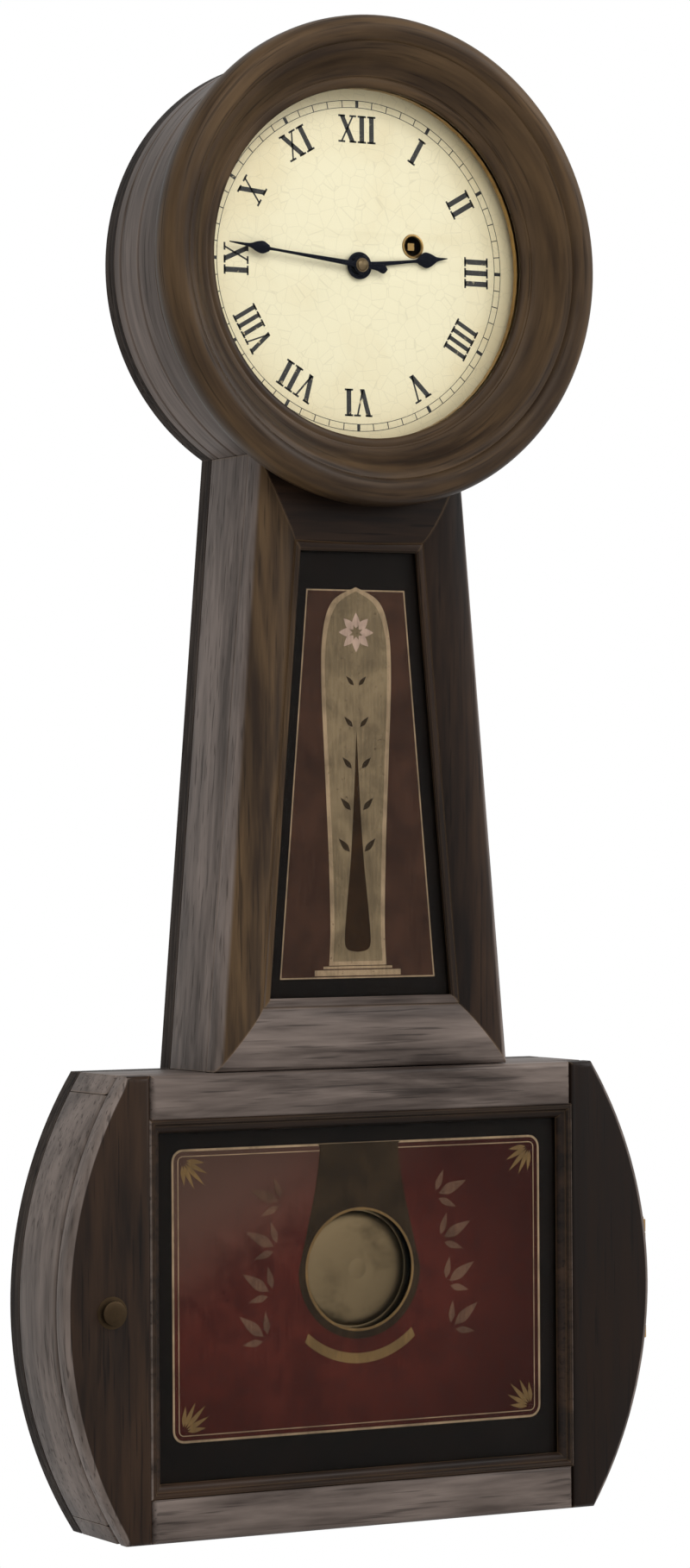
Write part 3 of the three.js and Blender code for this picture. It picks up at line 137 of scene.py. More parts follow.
# Gaps between pieces, and how far a cut runs past what it cuts
FIT = 0.3 * MM
SHADOW_GAP = 0.15 * MM          # behind the throat's frame and the box door
LEAF_GAP = 0.15 * MM            # from the line of a hinge's pin to each leaf
DOOR_GAP = 0.6 * MM             # round what moves in a seat of the case
OVERRUN = 1 * MM
HEAD_REACH = DRUM_RADIUS + FIT
GLASS_REACH = 5 * MM            # how far a glass reaches under its frame

# Places of the dial's rings
TRACK_RADIUS = 0.95 * SIGHT_RADIUS
NUMERAL_RADIUS = 0.785 * SIGHT_RADIUS
DIAL_SCREW_RADIUS = (SIGHT_RADIUS + DIAL_RADIUS) / 2

# Sizes of moving pieces that their boxes do not give
LEAF_THICKNESS = 1.2 * MM
TONGUE_THICKNESS = 2.4 * MM
HUB_WALL = 3 * MM
MINUTE_TAIL = 14.6 * MM
ROD_HALF_WIDTH = 3 * MM
ROD_THICKNESS = 1.5 * MM
LOOP_HALF_WIDTH = 8 * MM
LOOP_HALF_HEIGHT = 13 * MM
LOOP_BAR = 2.5 * MM
CRUTCH_HEIGHT = 20 * MM
CRUTCH_HOLE = (1.2 * MM, 2.4 * MM)      # half its width and half its height
LINE_RADIUS = 0.55 * MM
LINE_TURNS = 2

# The painted glasses: thin coats of paint behind a clear pane
LAYER_STEP = 0.07 * MM
PANE_BACK = 0.45 * MM
PANE_EDGE = 0.25 * MM
THROAT_RIM = 12 * MM
PANEL_FOOT = throat_glass_low.z + 20 * MM
PANEL_HEAD = throat_glass_high.z - 22 * MM
DOOR_RIM = 19 * MM
DOOR_FOOT_RIM = 29 * MM
FIELD_CORNER = 6 * MM
WINDOW_RADIUS = 29 * MM


def throat_half(height):
    """Half the throat's width at a height, from its side boards."""
    low = half_width("throat_side_right", THROAT_BOTTOM)
    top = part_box("throat_side_right")[1].z
    high = half_width("throat_side_right", top)
    share = (height - THROAT_BOTTOM) / (top - THROAT_BOTTOM)
    return low + (high - low) * share


def box_half(height, inset=0.0):
    """Half the box's width at a height, along its curved side."""
    reach = math.sqrt((BOX_ARC - inset) ** 2 - (height - BOX_MIDDLE) ** 2)
    return BOX_WIDE - BOX_ARC + reach


# Sizes and colours that a user would change

def paint(red, green, blue):
    """A colour from screen values of 0 to 255, as the linear values that Blender keeps."""
    def linear(value):
        share = value / 255
        return share / 12.92 if share <= 0.04045 else ((share + 0.055) / 1.055) ** 2.4
    return (linear(red), linear(green), linear(blue))


def colour(name, description, red, green, blue):
    return FloatVectorProperty(
        name=name, description=description, subtype="COLOR", size=3, min=0, max=1,
        default=paint(red, green, blue))


def length(name, description, default):
    return FloatProperty(
        name=name, description=description, default=default, min=0, unit="LENGTH",
        subtype="DISTANCE")


class ClockColours(bpy.types.PropertyGroup):
    """Colours of the clock's finishes."""

    wood_dark: colour("Dark grain", "Darkest streaks of the stained case wood", 34, 23, 14)
    wood_light: colour("Light grain", "Lightest streaks of the stained case wood", 88, 68, 45)
    wood_worn: colour("Worn edge", "Case wood where the stain has rubbed off", 112, 90, 66)
    stile_dark: colour("Dark stile", "Dark streaks of the blackened wood of the stiles", 17, 11, 8)
    stile_light: colour("Light stile", "Light streaks of the blackened wood of the stiles", 48, 33, 22)
    # Lighter colours for the case's sides: painted light where the sides face the lamps
    lit_side_dark: colour("Faded dark", "Dark streaks of the faded wood of the sides", 60, 52, 47)
    lit_side_light: colour("Faded light", "Light streaks of the faded wood of the sides", 118, 106, 99)
    # Painted sheen: the rails are lighter than the stiles, as where they catch the light
    lit_rail_dark: colour("Dark rail", "Dark streaks of the faded rails", 46, 38, 34)
    lit_rail_light: colour("Light rail", "Light streaks of the faded rails", 114, 102, 95)
    stile_shaded: colour("Shaded stile", "Light streaks of the door's right-hand stile", 27, 15, 7)
    # Painted shade: the backboard is kept dark, as it lies in shadow against the wall
    shaded_back_light: colour("Backboard", "Light streaks of the grimy backboard", 60, 52, 46)
    inner_dark: colour("Inside dark", "Dark streaks of the unfinished wood inside", 78, 56, 38)
    inner_light: colour("Inside light", "Light streaks of the unfinished wood inside", 128, 98, 66)
    brass: colour("Brass", "Aged brass of the movement and fittings", 164, 132, 84)
    brass_dull: colour("Dull brass", "Tarnish on the brass", 112, 84, 48)
    brass_dark: colour("Dark brass", "Patina on the bob and the latch", 116, 98, 74)
    brass_black: colour("Black brass", "Nearly black patina on the latch", 60, 48, 34)
    steel: colour("Steel", "Shafts, screws and the suspension spring", 150, 152, 156)
    blued: colour("Blued steel", "The hands", 26, 27, 34)
    iron: colour("Iron", "The cast weight", 74, 74, 76)
    gut: colour("Gut", "The weight's line", 176, 148, 96)
    dial: colour("Dial", "Cream paint of the dial", 250, 237, 203)
    dial_toned: colour("Toned dial", "Where the dial's paint has yellowed", 234, 212, 168)
    ink: colour("Ink", "Numerals and minute track", 36, 32, 30)
    tablet_ground: colour("Tablet ground", "Near-black ground of the painted glasses", 15, 8, 5)
    tablet_field: colour("Tablet field", "Maroon field of the painted glasses", 72, 29, 22)
    # Painted light: the lighter colour of the door's field above and left of the bob
    tablet_lit: colour("Bleached field", "Where light has bleached the maroon field", 108, 84, 72)
    tablet_panel: colour("Tablet panel", "Tan panel of the throat's glass", 116, 98, 75)
    tablet_line: colour("Tablet line", "Light tan lines of the painted glasses", 148, 124, 98)
    tablet_leaf: colour("Tablet leaf", "Dark brown ornament of the throat's glass", 44, 27, 12)
    throat_field: colour("Throat field", "Brown field of the throat's glass", 60, 38, 28)
    tablet_shade: colour("Tablet shade", "Dark olive band of the door's glass", 46, 34, 22)
    tablet_blush: colour("Tablet blush", "Pale pink rosette of the throat's glass", 172, 144, 128)
    tablet_leaf_light: colour("Light leaf", "Dusty leaves of the door's glass", 92, 66, 52)
    gold: colour("Gold leaf", "Gilt rings and border lines", 112, 86, 52)


class ClockSizes(bpy.types.PropertyGroup):
    """Sizes of the details that the frame leaves to the looks."""

    board_edge: length("Board edge", "Rounding along the edges of the case boards", 1.1 * MM)
    frame_edge: length("Frame edge", "Rounding along the outer edge of the box door", 3.2 * MM)
    bead_width: length("Bead width", "Width of the bead round the door's glass", 6 * MM)
    numeral_height: length("Numeral height", "Height of the dial's numerals", 13.5 * MM)
    track_width: length("Track width", "Width of the minute track", 3.4 * MM)
    paint_thickness: length("Paint", "Thickness of ink and painted layers", 0.06 * MM)
    ring_sides: IntProperty(
        name="Ring sides", description="Facets round the turned pieces", default=192, min=24)


class ClockStage(bpy.types.PropertyGroup):
    """Camera and light."""

    azimuth: FloatProperty(
        name="Azimuth", description="Side from which the camera looks", subtype="ANGLE",
        default=math.radians(-28.7))
    pitch: FloatProperty(
        name="Pitch", description="How far the camera looks up", subtype="ANGLE",
        default=math.radians(0.632))
    roll: FloatProperty(
        name="Roll", description="How far the camera leans clockwise", subtype="ANGLE",
        default=math.radians(-0.35))
    distance: length("Distance", "From the camera to the dial, along its view", 2259 * MM)
    drop: length("Drop", "How far the camera stands below the dial's centre", 278.8 * MM)
    aside: length("Aside", "How far the dial's centre lies right of the view's middle", 7.8 * MM)
    lens: FloatProperty(name="Lens", description="Focal length", default=105.94, unit="CAMERA")
    key_power: FloatProperty(name="Key", description="Key light", default=42, unit="POWER")
    fill_power: FloatProperty(name="Fill", description="Fill light", default=39, unit="POWER")
    ambient: FloatProperty(name="Ambient", description="Light from all round", default=0.76)


# Shader maths as expressions

class Value:
    """A number socket that adds its Math nodes as it is used in an expression."""

    def __init__(self, tree, socket):
        self.tree = tree
        self.socket = socket

    def _math(self, operation, first, second):
        settings = {"operation": operation}
        return self.tree.node("ShaderNodeMath", settings, {0: first, 1: second})["Value"]

    def __add__(self, other):
        return self._math("ADD", self, other)

    def __radd__(self, other):
        return self._math("ADD", other, self)

    def __sub__(self, other):
        return self._math("SUBTRACT", self, other)

    def __rsub__(self, other):
        return self._math("SUBTRACT", other, self)

    def __mul__(self, other):
        return self._math("MULTIPLY", self, other)

    def __rmul__(self, other):
        return self._math("MULTIPLY", other, self)

    def __truediv__(self, other):
        return self._math("DIVIDE", self, other)

    def __pow__(self, other):
        return self._math("POWER", self, other)

    def larger(self, other):
        return self._math("MAXIMUM", self, other)

    def clamp(self, low=0.0, high=1.0):
        return self._math("MINIMUM", self.larger(low), high)

    def step(self, low, high):
        """0 below low, 1 above high and a smooth rise between."""
        inputs = {"Value": self, "From Min": low, "From Max": high}
        settings = {"interpolation_type": "SMOOTHSTEP"}
        return self.tree.node("ShaderNodeMapRange", settings, inputs)["Result"]


class Outputs:
    """A node's outputs, wrapped when they are asked for by name or number."""

    def __init__(self, tree, node):
        self.tree = tree
        self.node = node

    def __getitem__(self, key):
        return Value(self.tree, self.node.outputs[key])


# Sockets of the Mix node when it mixes colours
MIX_FACTOR = 0
MIX_COLOURS = (6, 7)
MIX_RESULT = 2


class Tree:
    """The node tree of a material or of the world, built by one method."""

    def __init__(self, name, owner=None):
        self.owner = owner or bpy.data.materials.new(name)
        self.owner.use_nodes = True
        self.tree = self.owner.node_tree
        self.tree.nodes.clear()

    def node(self, kind, settings=None, inputs=None):
        """Adds a node: its settings first, then the values or links of its sockets."""
        node = self.tree.nodes.new(kind)
        for key, value in (settings or {}).items():
            setattr(node, key, value)
        for key, value in (inputs or {}).items():
            if isinstance(value, Value):
                self.tree.links.new(value.socket, node.inputs[key])
            else:
                node.inputs[key].default_value = value
        return Outputs(self, node)

    def vector_math(self, operation, *vectors, output="Vector"):
        settings = {"operation": operation}
        return self.node("ShaderNodeVectorMath", settings, dict(enumerate(vectors)))[output]

    def parts(self, vector):
        """A vector's X, Y and Z."""
        outputs = self.node("ShaderNodeSeparateXYZ", {}, {"Vector": vector})
        return outputs["X"], outputs["Y"], outputs["Z"]

    def place(self, stretch=(1, 1, 1)):
        """Points of the piece in its own space, stretched along its axes."""
        coordinates = self.node("ShaderNodeTexCoord")["Object"]
        inputs = {"Vector": coordinates, "Scale": stretch}
        return self.node("ShaderNodeMapping", {}, inputs)["Vector"]

    def grain(self, axis, along, across):
        """Places for grain along an axis, or round the dial's centre with its radius beside it."""
        if axis is not ROUND:
            return self.place(tuple(along if i == axis else across for i in range(3))), None
        x, y, z = self.parts(self.place())
        radius = (x * x + z * z) ** 0.5
        turn = DRUM_RADIUS * along
        inputs = {"X": x / radius * turn, "Y": y * across, "Z": z / radius * turn}
        return self.node("ShaderNodeCombineXYZ", {}, inputs)["Vector"], radius * across

    def noise(self, place, scale, detail=4.0, roughness=0.55, distortion=0.0):
        """Noise at a place, or in four dimensions at a place of round grain."""
        place, radius = place if isinstance(place, tuple) else (place, None)
        inputs = {"Vector": place, "Scale": scale, "Detail": detail, "Roughness": roughness,
                  "Distortion": distortion}
        if radius is None:
            return self.node("ShaderNodeTexNoise", {}, inputs)["Fac"]
        inputs["W"] = radius
        return self.node("ShaderNodeTexNoise", {"noise_dimensions": "4D"}, inputs)["Fac"]

    def blend(self, factor, *colours):
        """One colour turning into another."""
        inputs = {MIX_FACTOR: factor}
        inputs.update({socket: opaque(shade) for socket, shade in zip(MIX_COLOURS, colours)})
        return self.node("ShaderNodeMix", {"data_type": "RGBA"}, inputs)[MIX_RESULT]

    def bump(self, height, distance, strength):
        inputs = {"Height": height, "Distance": distance, "Strength": strength}
        return self.node("ShaderNodeBump", {}, inputs)["Normal"]

    def principled(self, **inputs):
        """The principled shader, with spaces in socket names written as _."""
        named = {key.replace("_", " "): opaque(value) for key, value in inputs.items()}
        return self.node("ShaderNodeBsdfPrincipled", {}, named)["BSDF"]

    def surface(self, **inputs):
        return self.output(self.principled(**inputs))

    def covered(self, cover, below, above):
        """One shader covered by another."""
        return self.node("ShaderNodeMixShader", {}, {0: cover, 1: below, 2: above})["Shader"]

    def output(self, shader, kind="ShaderNodeOutputMaterial"):
        self.node(kind, {}, {"Surface": shader})
        return self.owner


def opaque(value):
    """A colour with its alpha, and anything else as it is."""
    if isinstance(value, Value) or not hasattr(value, "__len__") or len(value) != 3:
        return value
    return (*value, 1.0)


# Finishes

ACROSS, UPRIGHT, ROUND = 0, 2, None     # the axis that grain runs along, or round the dial's centre
OUTWARD = (30 * MM, 50 * MM)    # X times the normal's X, where a face of the case looks outward
WALL_SHADE_REACH = 26 * MM           # how far from the wall the painted shade reaches into the case
WEAR_REACH = 1.6 * MM           # how far from an edge the stain has rubbed off


def scaled(shade, share):
    """A colour with its channels multiplied by a share."""
    return tuple(min(1.0, channel * share) for channel in shade)


def wood(name, dark, light, axis, worn, rough=0.48, coat=0.03, outer=None, wall_shade=0.0):
    """Stained wood with its grain along one axis, open pores, and stain rubbed off the edges.

    Outer holds the dark and light grain of faces that look sideways out of the case: painted light
    on the sides. Wall shade is how much painted shade darkens the wood near the wall.
    """
    tree = Tree(name)
    figure_place = tree.grain(axis, along=3, across=34)
    pore_place = tree.grain(axis, along=22, across=620)
    figure = tree.noise(figure_place, scale=1.6, detail=5, roughness=0.6, distortion=0.7)
    streaks = tree.noise(figure_place, scale=7, detail=3, roughness=0.5, distortion=0.2)
    pores = tree.noise(pore_place, scale=1, detail=2, roughness=0.5)
    cloud = tree.noise(tree.place((9, 9, 9)), scale=1, detail=3, roughness=0.5)
    shade = (figure * 0.55 + streaks * 0.3 + cloud * 0.3 - 0.08).step(0.32, 0.72)
    stain = tree.blend(shade, dark, light)
    x, y, _ = tree.parts(tree.place())
    # Painted light: faces that look sideways out of the case take the lighter side colours
    if outer is not None:
        normal_x = tree.parts(tree.node("ShaderNodeTexCoord")["Normal"])[0]
        outward = (x * normal_x).step(*OUTWARD)
        stain = tree.blend(outward, stain, tree.blend(shade, *outer))
    pore_mask = pores.step(0.56, 0.7)
    stain = tree.blend(pore_mask * 0.55, stain, scaled(dark, 0.35))
    bevel = tree.node("ShaderNodeBevel", {"samples": 4}, {"Radius": WEAR_REACH})["Normal"]
    normal = tree.node("ShaderNodeNewGeometry")["Normal"]
    flatness = tree.vector_math("DOT_PRODUCT", bevel, normal, output="Value")
    edge = ((1 - flatness) * 6 + (streaks - 0.5) * 0.5).step(0.35, 0.95)
    stain = tree.blend(edge * 0.34, stain, worn)
    # Painted shade: the wood darkens toward the wall, where the case lies in shadow
    if wall_shade:
        near_wall = 1 - (cloud * WALL_SHADE_REACH * 0.6 - y).step(0.3 * WALL_SHADE_REACH, WALL_SHADE_REACH)
        stain = tree.blend(near_wall * wall_shade, stain, scaled(dark, 0.5))
    roughness = rough + (cloud - 0.5) * 0.22 + pore_mask * 0.14 - edge * 0.06
    relief = streaks * 0.25 - pore_mask * 0.5 + cloud * 0.15
    return tree.surface(
        Base_Color=stain, Roughness=roughness.clamp(0.12, 0.95), Specular_IOR_Level=0.1,
        Coat_Weight=coat, Coat_Roughness=0.25,
        Normal=tree.bump(relief, distance=0.12 * MM, strength=0.6))


def metal(name, bright, dull, rough, brushed=(1, 1, 1), tarnish=0.45):
    """Aged metal: fine brushing, soft tarnish and small dark specks."""
    tree = Tree(name)
    cloud = tree.noise(tree.place((38, 38, 38)), scale=1, detail=4, roughness=0.6, distortion=0.4)
    lines = tree.noise(tree.place(tuple(900 * share for share in brushed)), scale=1, detail=2,
                       roughness=0.5)
    specks = tree.noise(tree.place((420, 420, 420)), scale=1, detail=3, roughness=0.6)
    dulled = (cloud * 1.2 - 0.1).step(0.42, 0.78)
    base = tree.blend(dulled * tarnish, bright, dull)
    base = tree.blend(specks.step(0.66, 0.8) * 0.5, base, scaled(dull, 0.3))
    roughness = (rough + dulled * 0.2 + (lines - 0.5) * 0.12).clamp(0.08, 0.9)
    relief = lines * 0.4 + specks * 0.2
    return tree.surface(
        Base_Color=base, Metallic=1.0, Roughness=roughness,
        Normal=tree.bump(relief, distance=0.03 * MM, strength=0.5))


def dial_paint(name, fresh, toned):
    """Cream paint, yellowed toward the rim in clouds and crazed with hairlines."""
    tree = Tree(name)
    place = tree.place()
    cloud = tree.noise(place, scale=26, detail=4, roughness=0.55, distortion=0.3)
    fine = tree.noise(place, scale=240, detail=3, roughness=0.5)
    x, _, z = tree.parts(place)
    radius = (x * x + z * z) ** 0.5
    rim = (radius / SIGHT_RADIUS).step(0.55, 1.1)
    settings = {"feature": "DISTANCE_TO_EDGE"}
    inputs = {"Vector": place, "Scale": 150.0}
    craze = tree.node("ShaderNodeTexVoronoi", settings, inputs)["Distance"]
    hairline = 1 - craze.step(0.006, 0.03)
    base = tree.blend((rim * 0.55 + cloud.step(0.45, 0.8) * 0.4).clamp(), fresh, toned)
    base = tree.blend(hairline * 0.16, base, scaled(toned, 0.45))
    roughness = 0.42 + (cloud - 0.5) * 0.2 + hairline * 0.1
    relief = fine * 0.15 - hairline * 0.6
    return tree.surface(
        Base_Color=base, Roughness=roughness,
        Normal=tree.bump(relief, distance=0.03 * MM, strength=0.4))


def flat_paint(name, shade, rough=0.5, mottle=0.25, metallic=0.0, worn=None, shine=0.5,
               lit_spot=None):
    """A layer of paint, ink or leaf with brush mottling and rubbed spots.

    Lit spot gives the middle and the reach of a painted pool of light, and the lighter colour painted
    above and left of it. Painted shade darkens the paint away from that spot.
    """
    tree = Tree(name)
    place = tree.place()
    cloud = tree.noise(place, scale=60, detail=4, roughness=0.6, distortion=0.5)
    strokes = tree.noise(tree.place((700, 700, 60)), scale=1, detail=2, roughness=0.5)
    spots = tree.noise(place, scale=420, detail=3, roughness=0.6)
    brushed = (cloud * 0.7 + strokes * 0.3).step(0.3, 0.7)
    base = tree.blend(brushed, scaled(shade, 1 - mottle), scaled(shade, 1 + mottle))
    if worn is not None:
        base = tree.blend(spots.step(0.62, 0.74) * 0.6, base, worn)
    if lit_spot is not None:
        x, z, reach, brightened = lit_spot
        offset = tree.vector_math("SUBTRACT", place, (x, 0, z))
        spread = tree.vector_math("MULTIPLY", offset, (1 / reach, 0, 1.5 / reach))
        away = tree.vector_math("LENGTH", spread, output="Value")
        beside, _, above = tree.parts(offset)
        # Painted light: lighter above and to the left of the spot's middle
        lit = (above - beside * 0.5 + (cloud - 0.5) * 0.04).step(0.02, 0.11)
        base = tree.blend(lit * 0.75, base, brightened)
        # Painted shade: darker away from the spot
        dark = (away + (cloud - 0.5) * 0.5).step(0.45, 1.3)
        base = tree.blend(dark * 0.7, base, scaled(shade, 0.22))
    roughness = (rough + (cloud - 0.5) * 0.25).clamp(0.05, 1)
    relief = strokes * 0.5 + spots * 0.3
    return tree.surface(
        Base_Color=base, Metallic=metallic, Roughness=roughness, Specular_IOR_Level=shine,
        Normal=tree.bump(relief, distance=0.02 * MM, strength=0.4))


def clear_glass(name, tint, dust):
    """Old window glass: nearly clear, brighter where it is seen edge on, faintly dusty."""
    tree = Tree(name)
    place = tree.place()
    waves = tree.noise(place, scale=14, detail=2, roughness=0.4)
    film = tree.noise(place, scale=50, detail=4, roughness=0.6)
    edge_on = tree.node("ShaderNodeFresnel", {}, {"IOR": 1.22})["Fac"]
    cover = (edge_on + film.step(0.5, 0.9) * dust).clamp(0, 0.7)
    see_through = tree.node("ShaderNodeBsdfTransparent", {}, {"Color": opaque(tint)})["BSDF"]
    shine = tree.principled(
        Base_Color=(0.03, 0.035, 0.033), Roughness=0.06, Specular_IOR_Level=1.0,
        Normal=tree.bump(waves, distance=0.4 * MM, strength=0.3))
    return tree.output(tree.covered(cover, see_through, shine))


def twisted_gut(name, shade):
    tree = Tree(name)
    place = tree.place()
    settings = {"wave_type": "BANDS", "bands_direction": "DIAGONAL"}
    twist = tree.node("ShaderNodeTexWave", settings, {"Vector": place, "Scale": 900.0})["Fac"]
    cloud = tree.noise(place, scale=90, detail=3, roughness=0.5)
    base = tree.blend((twist * 0.6 + cloud * 0.4).clamp(), scaled(shade, 0.5), shade)
    return tree.surface(
        Base_Color=base, Roughness=0.6 + cloud * 0.2,
        Normal=tree.bump(twist, distance=0.08 * MM, strength=0.8))


def wood_finishes(c):
    # The lighter side colours are painted light on the case's sides
    painted_lit = (c.lit_side_dark, c.lit_side_light)
    stained = {"worn": c.wood_worn}
    stained_lit_sides = {"worn": c.wood_worn, "outer": painted_lit}
    # The side boards take painted shade near the wall
    wall_shaded = {"worn": c.wood_worn, "wall_shade": 0.75}
    bare = {"worn": c.inner_light, "rough": 0.68, "coat": 0.0}
    back = {"worn": c.lit_side_light, "rough": 0.7, "coat": 0.0}
    rows = (
        ("wood_upright", c.wood_dark, c.wood_light, UPRIGHT, stained_lit_sides),
        ("wood_round", c.wood_dark, c.wood_light, ROUND, stained),
        ("stile_upright", c.stile_dark, c.stile_light, UPRIGHT, stained_lit_sides),
        ("stile_across", c.stile_dark, c.stile_light, ACROSS, stained_lit_sides),
        ("shaded_upright", c.stile_dark, c.stile_shaded, UPRIGHT, stained_lit_sides),
        ("lit_rail_across", c.lit_rail_dark, c.lit_rail_light, ACROSS, stained),
        ("faded_upright", *painted_lit, UPRIGHT, wall_shaded),
        ("faded_across", *painted_lit, ACROSS, wall_shaded),
        ("faded_round", *painted_lit, ROUND, wall_shaded),
        ("inner_upright", c.inner_dark, c.inner_light, UPRIGHT, bare),
        ("inner_across", c.inner_dark, c.inner_light, ACROSS, bare),
        # The backboard's darker colours are painted shade
        ("wood_back", c.stile_dark, c.shaded_back_light, UPRIGHT, back))
    return {name: wood(name, dark, light, axis, **settings)
            for name, dark, light, axis, settings in rows}


def metal_finishes(c):
    even, turned_lines = (1, 1, 1), (1, 0.06, 1)
    rows = (
        ("brass", c.brass, c.brass_dull, 0.3, (1, 1, 0.08), 0.45),
        ("brass_turned", c.brass, c.brass_dull, 0.26, turned_lines, 0.35),
        ("brass_dark", c.brass_dark, scaled(c.brass_dark, 0.4), 0.42, turned_lines, 0.7),
        ("brass_black", c.brass_black, c.stile_dark, 0.5, turned_lines, 0.5),
        ("steel", c.steel, scaled(c.steel, 0.45), 0.3, (1, 0.1, 1), 0.3),
        ("blued", c.blued, scaled(c.blued, 0.5), 0.3, even, 0.5),
        ("iron", c.iron, scaled(c.iron, 0.4), 0.62, even, 0.7))
    return {row[0]: metal(*row) for row in rows}


def paint_finishes(c):
    plain = {"mottle": 0.35, "shine": 0.08}
    rubbed = {"worn": c.tablet_leaf, **plain}
    # A painted pool of light on the door's field: its middle, its reach and its lit colour
    lit = (-25 * MM, BOB_Z - 14 * MM, 118 * MM, c.tablet_lit)
    rows = (
        ("ink", c.ink, {"rough": 0.45, "mottle": 0.3, "worn": c.dial_toned}),
        ("gold", c.gold, {"rough": 0.45, "metallic": 0.3, "worn": c.tablet_field, "shine": 0.2}),
        ("tablet_ground", c.tablet_ground, plain),
        ("tablet_field", c.tablet_field, {"worn": c.tablet_ground, "lit_spot": lit, **plain}),
        ("tablet_panel", c.tablet_panel, rubbed),
        ("tablet_line", c.tablet_line, rubbed),
        ("tablet_leaf", c.tablet_leaf, plain),
        ("tablet_leaf_light", c.tablet_leaf_light, rubbed),
        ("tablet_shade", c.tablet_shade, rubbed),
        ("tablet_blush", c.tablet_blush, plain),
        ("throat_field", c.throat_field, rubbed))
    return {name: flat_paint(name, shade, **settings) for name, shade, settings in rows}


def finishes():
    """Every finish by name, made once for the scene's colours."""
    made = finishes.made
    if not made:
        c = bpy.context.scene.clock_colours
        made.update(wood_finishes(c))
        made.update(metal_finishes(c))
        made.update(paint_finishes(c))
        made["dial"] = dial_paint("dial", c.dial, c.dial_toned)
        made["gut"] = twisted_gut("gut", c.gut)
        made["glass"] = clear_glass("glass", tint=(0.98, 0.99, 0.985), dust=0.015)
    return made


finishes.made = {}


# Mesh code

ON_AXIS = 0.0001 * MM           # what lies nearer to an axis than this lies on it
WELD = 0.002 * MM               # corners nearer to each other than this become one


def add_mesh(name, points, faces):
    mesh = bpy.data.meshes.new(name)
    mesh.from_pydata([tuple(point) for point in points], [], faces)
    mesh.update()
    return mesh


def tidy_mesh(mesh, smooth_below=math.radians(35)):
    """Welds corners, turns faces outward and smooths all but the sharp edges."""
    work = bmesh.new()
    work.from_mesh(mesh)
    bmesh.ops.remove_doubles(work, verts=work.verts, dist=WELD)
    bmesh.ops.dissolve_degenerate(work, edges=work.edges, dist=WELD / 4)
    loose = [vertex for vertex in work.verts if not vertex.link_faces]
    bmesh.ops.delete(work, geom=loose, context="VERTS")
    bmesh.ops.recalc_face_normals(work, faces=work.faces)
    for face in work.faces:
        face.smooth = True
    for edge in work.edges:
        edge.smooth = not (len(edge.link_faces) == 2 and edge.calc_face_angle(0) > smooth_below)
    work.to_mesh(mesh)
    work.free()
    return mesh


def joined(name, meshes):
    """One mesh from several."""
    work = bmesh.new()
    for mesh in meshes:
        work.from_mesh(mesh)
    whole = bpy.data.meshes.new(name)
    work.to_mesh(whole)
    work.free()
    return whole


def moved(mesh, x=0.0, depth=0.0, z=0.0, turn=0.0):
    """A mesh turned clockwise about Y and moved to a place on the dial plane."""
    mesh.transform(Matrix.Translation((x, -depth, z)) @ Matrix.Rotation(turn, 4, "Y"))
    return mesh


def stood(mesh, x, depth, z):
    """A mesh turned about Y, stood up with its front at the top, and moved to its place."""
    mesh.transform(Matrix.Translation((x, -depth, z)) @ Matrix.Rotation(-QUARTER_TURN, 4, "X"))
    return mesh


def piece(name, mesh, body, finish, replaces=()):
    """Hangs one mesh in the clock, riding a body of the frame."""
    mesh.name = name
    thing = bpy.data.objects.new(name, mesh)
    bpy.context.scene.collection.objects.link(thing)
    mesh.materials.clear()
    mesh.materials.append(finishes()[finish])
    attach(thing, body)
    if replaces:
        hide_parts(*replaces)
    return thing


def circle(radius, sides, x=0.0, z=0.0, start=0.0):
    return [(x + radius * math.cos(start + FULL_TURN * i / sides),
             z + radius * math.sin(start + FULL_TURN * i / sides)) for i in range(sides)]


def arc(radius, first, last, steps, x=0.0, z=0.0):
    """Points on an arc, with angles from +X toward +Z."""
    return [(x + radius * math.cos(first + (last - first) * i / steps),
             z + radius * math.sin(first + (last - first) * i / steps)) for i in range(steps + 1)]


def box_outline(left, right, low, high):
    return [(left, low), (right, low), (right, high), (left, high)]


def soft_box(left, right, low, high, corner, steps=5):
    """A rectangle with round corners."""
    centres = [(right - corner, high - corner), (left + corner, high - corner),
               (left + corner, low + corner), (right - corner, low + corner)]
    points = []
    for i, (x, z) in enumerate(centres):
        points += arc(corner, i * QUARTER_TURN, (i + 1) * QUARTER_TURN, steps, x, z)
    return points


def mirrored(outline):
    return [(-x, z) for x, z in reversed(outline)]


def both_sides(right):
    """An outline from its right half, which starts and ends on the middle line or beside it."""
    return right + mirrored([(x, z) for x, z in right if x > ON_AXIS])


def leaning(outline, angle, x=0.0, z=0.0):
    """An outline turned clockwise from upright and moved to x, z."""
    return [(x + px * math.cos(angle) + pz * math.sin(angle),
             z + pz * math.cos(angle) - px * math.sin(angle)) for px, pz in outline]


def smooth(points, steps=6):
    """An open curve through a few points."""
    path = []
    last = len(points) - 1
    for i in range(last):
        before, start, end, after = (Vector(points[min(max(k, 0), last)]) for k in range(i - 1, i + 3))
        for k in range(steps):
            t = k / steps
            bend = (2 * start + (end - before) * t
                    + (2 * before - 5 * start + 4 * end - after) * t ** 2
                    + (3 * start - before - 3 * end + after) * t ** 3)
            path.append(tuple(bend / 2))
    return path + [tuple(points[-1])]


def worked(thing, cutters=()):
    """The mesh of an object as its settings and modifiers leave it. The objects are removed."""
    for item in (thing, *cutters):
        bpy.context.scene.collection.objects.link(item)
    bpy.context.view_layer.update()
    ready = thing.evaluated_get(bpy.context.evaluated_depsgraph_get())
    mesh = bpy.data.meshes.new_from_object(ready)
    for item in (thing, *cutters):
        bpy.data.objects.remove(item)
    return mesh


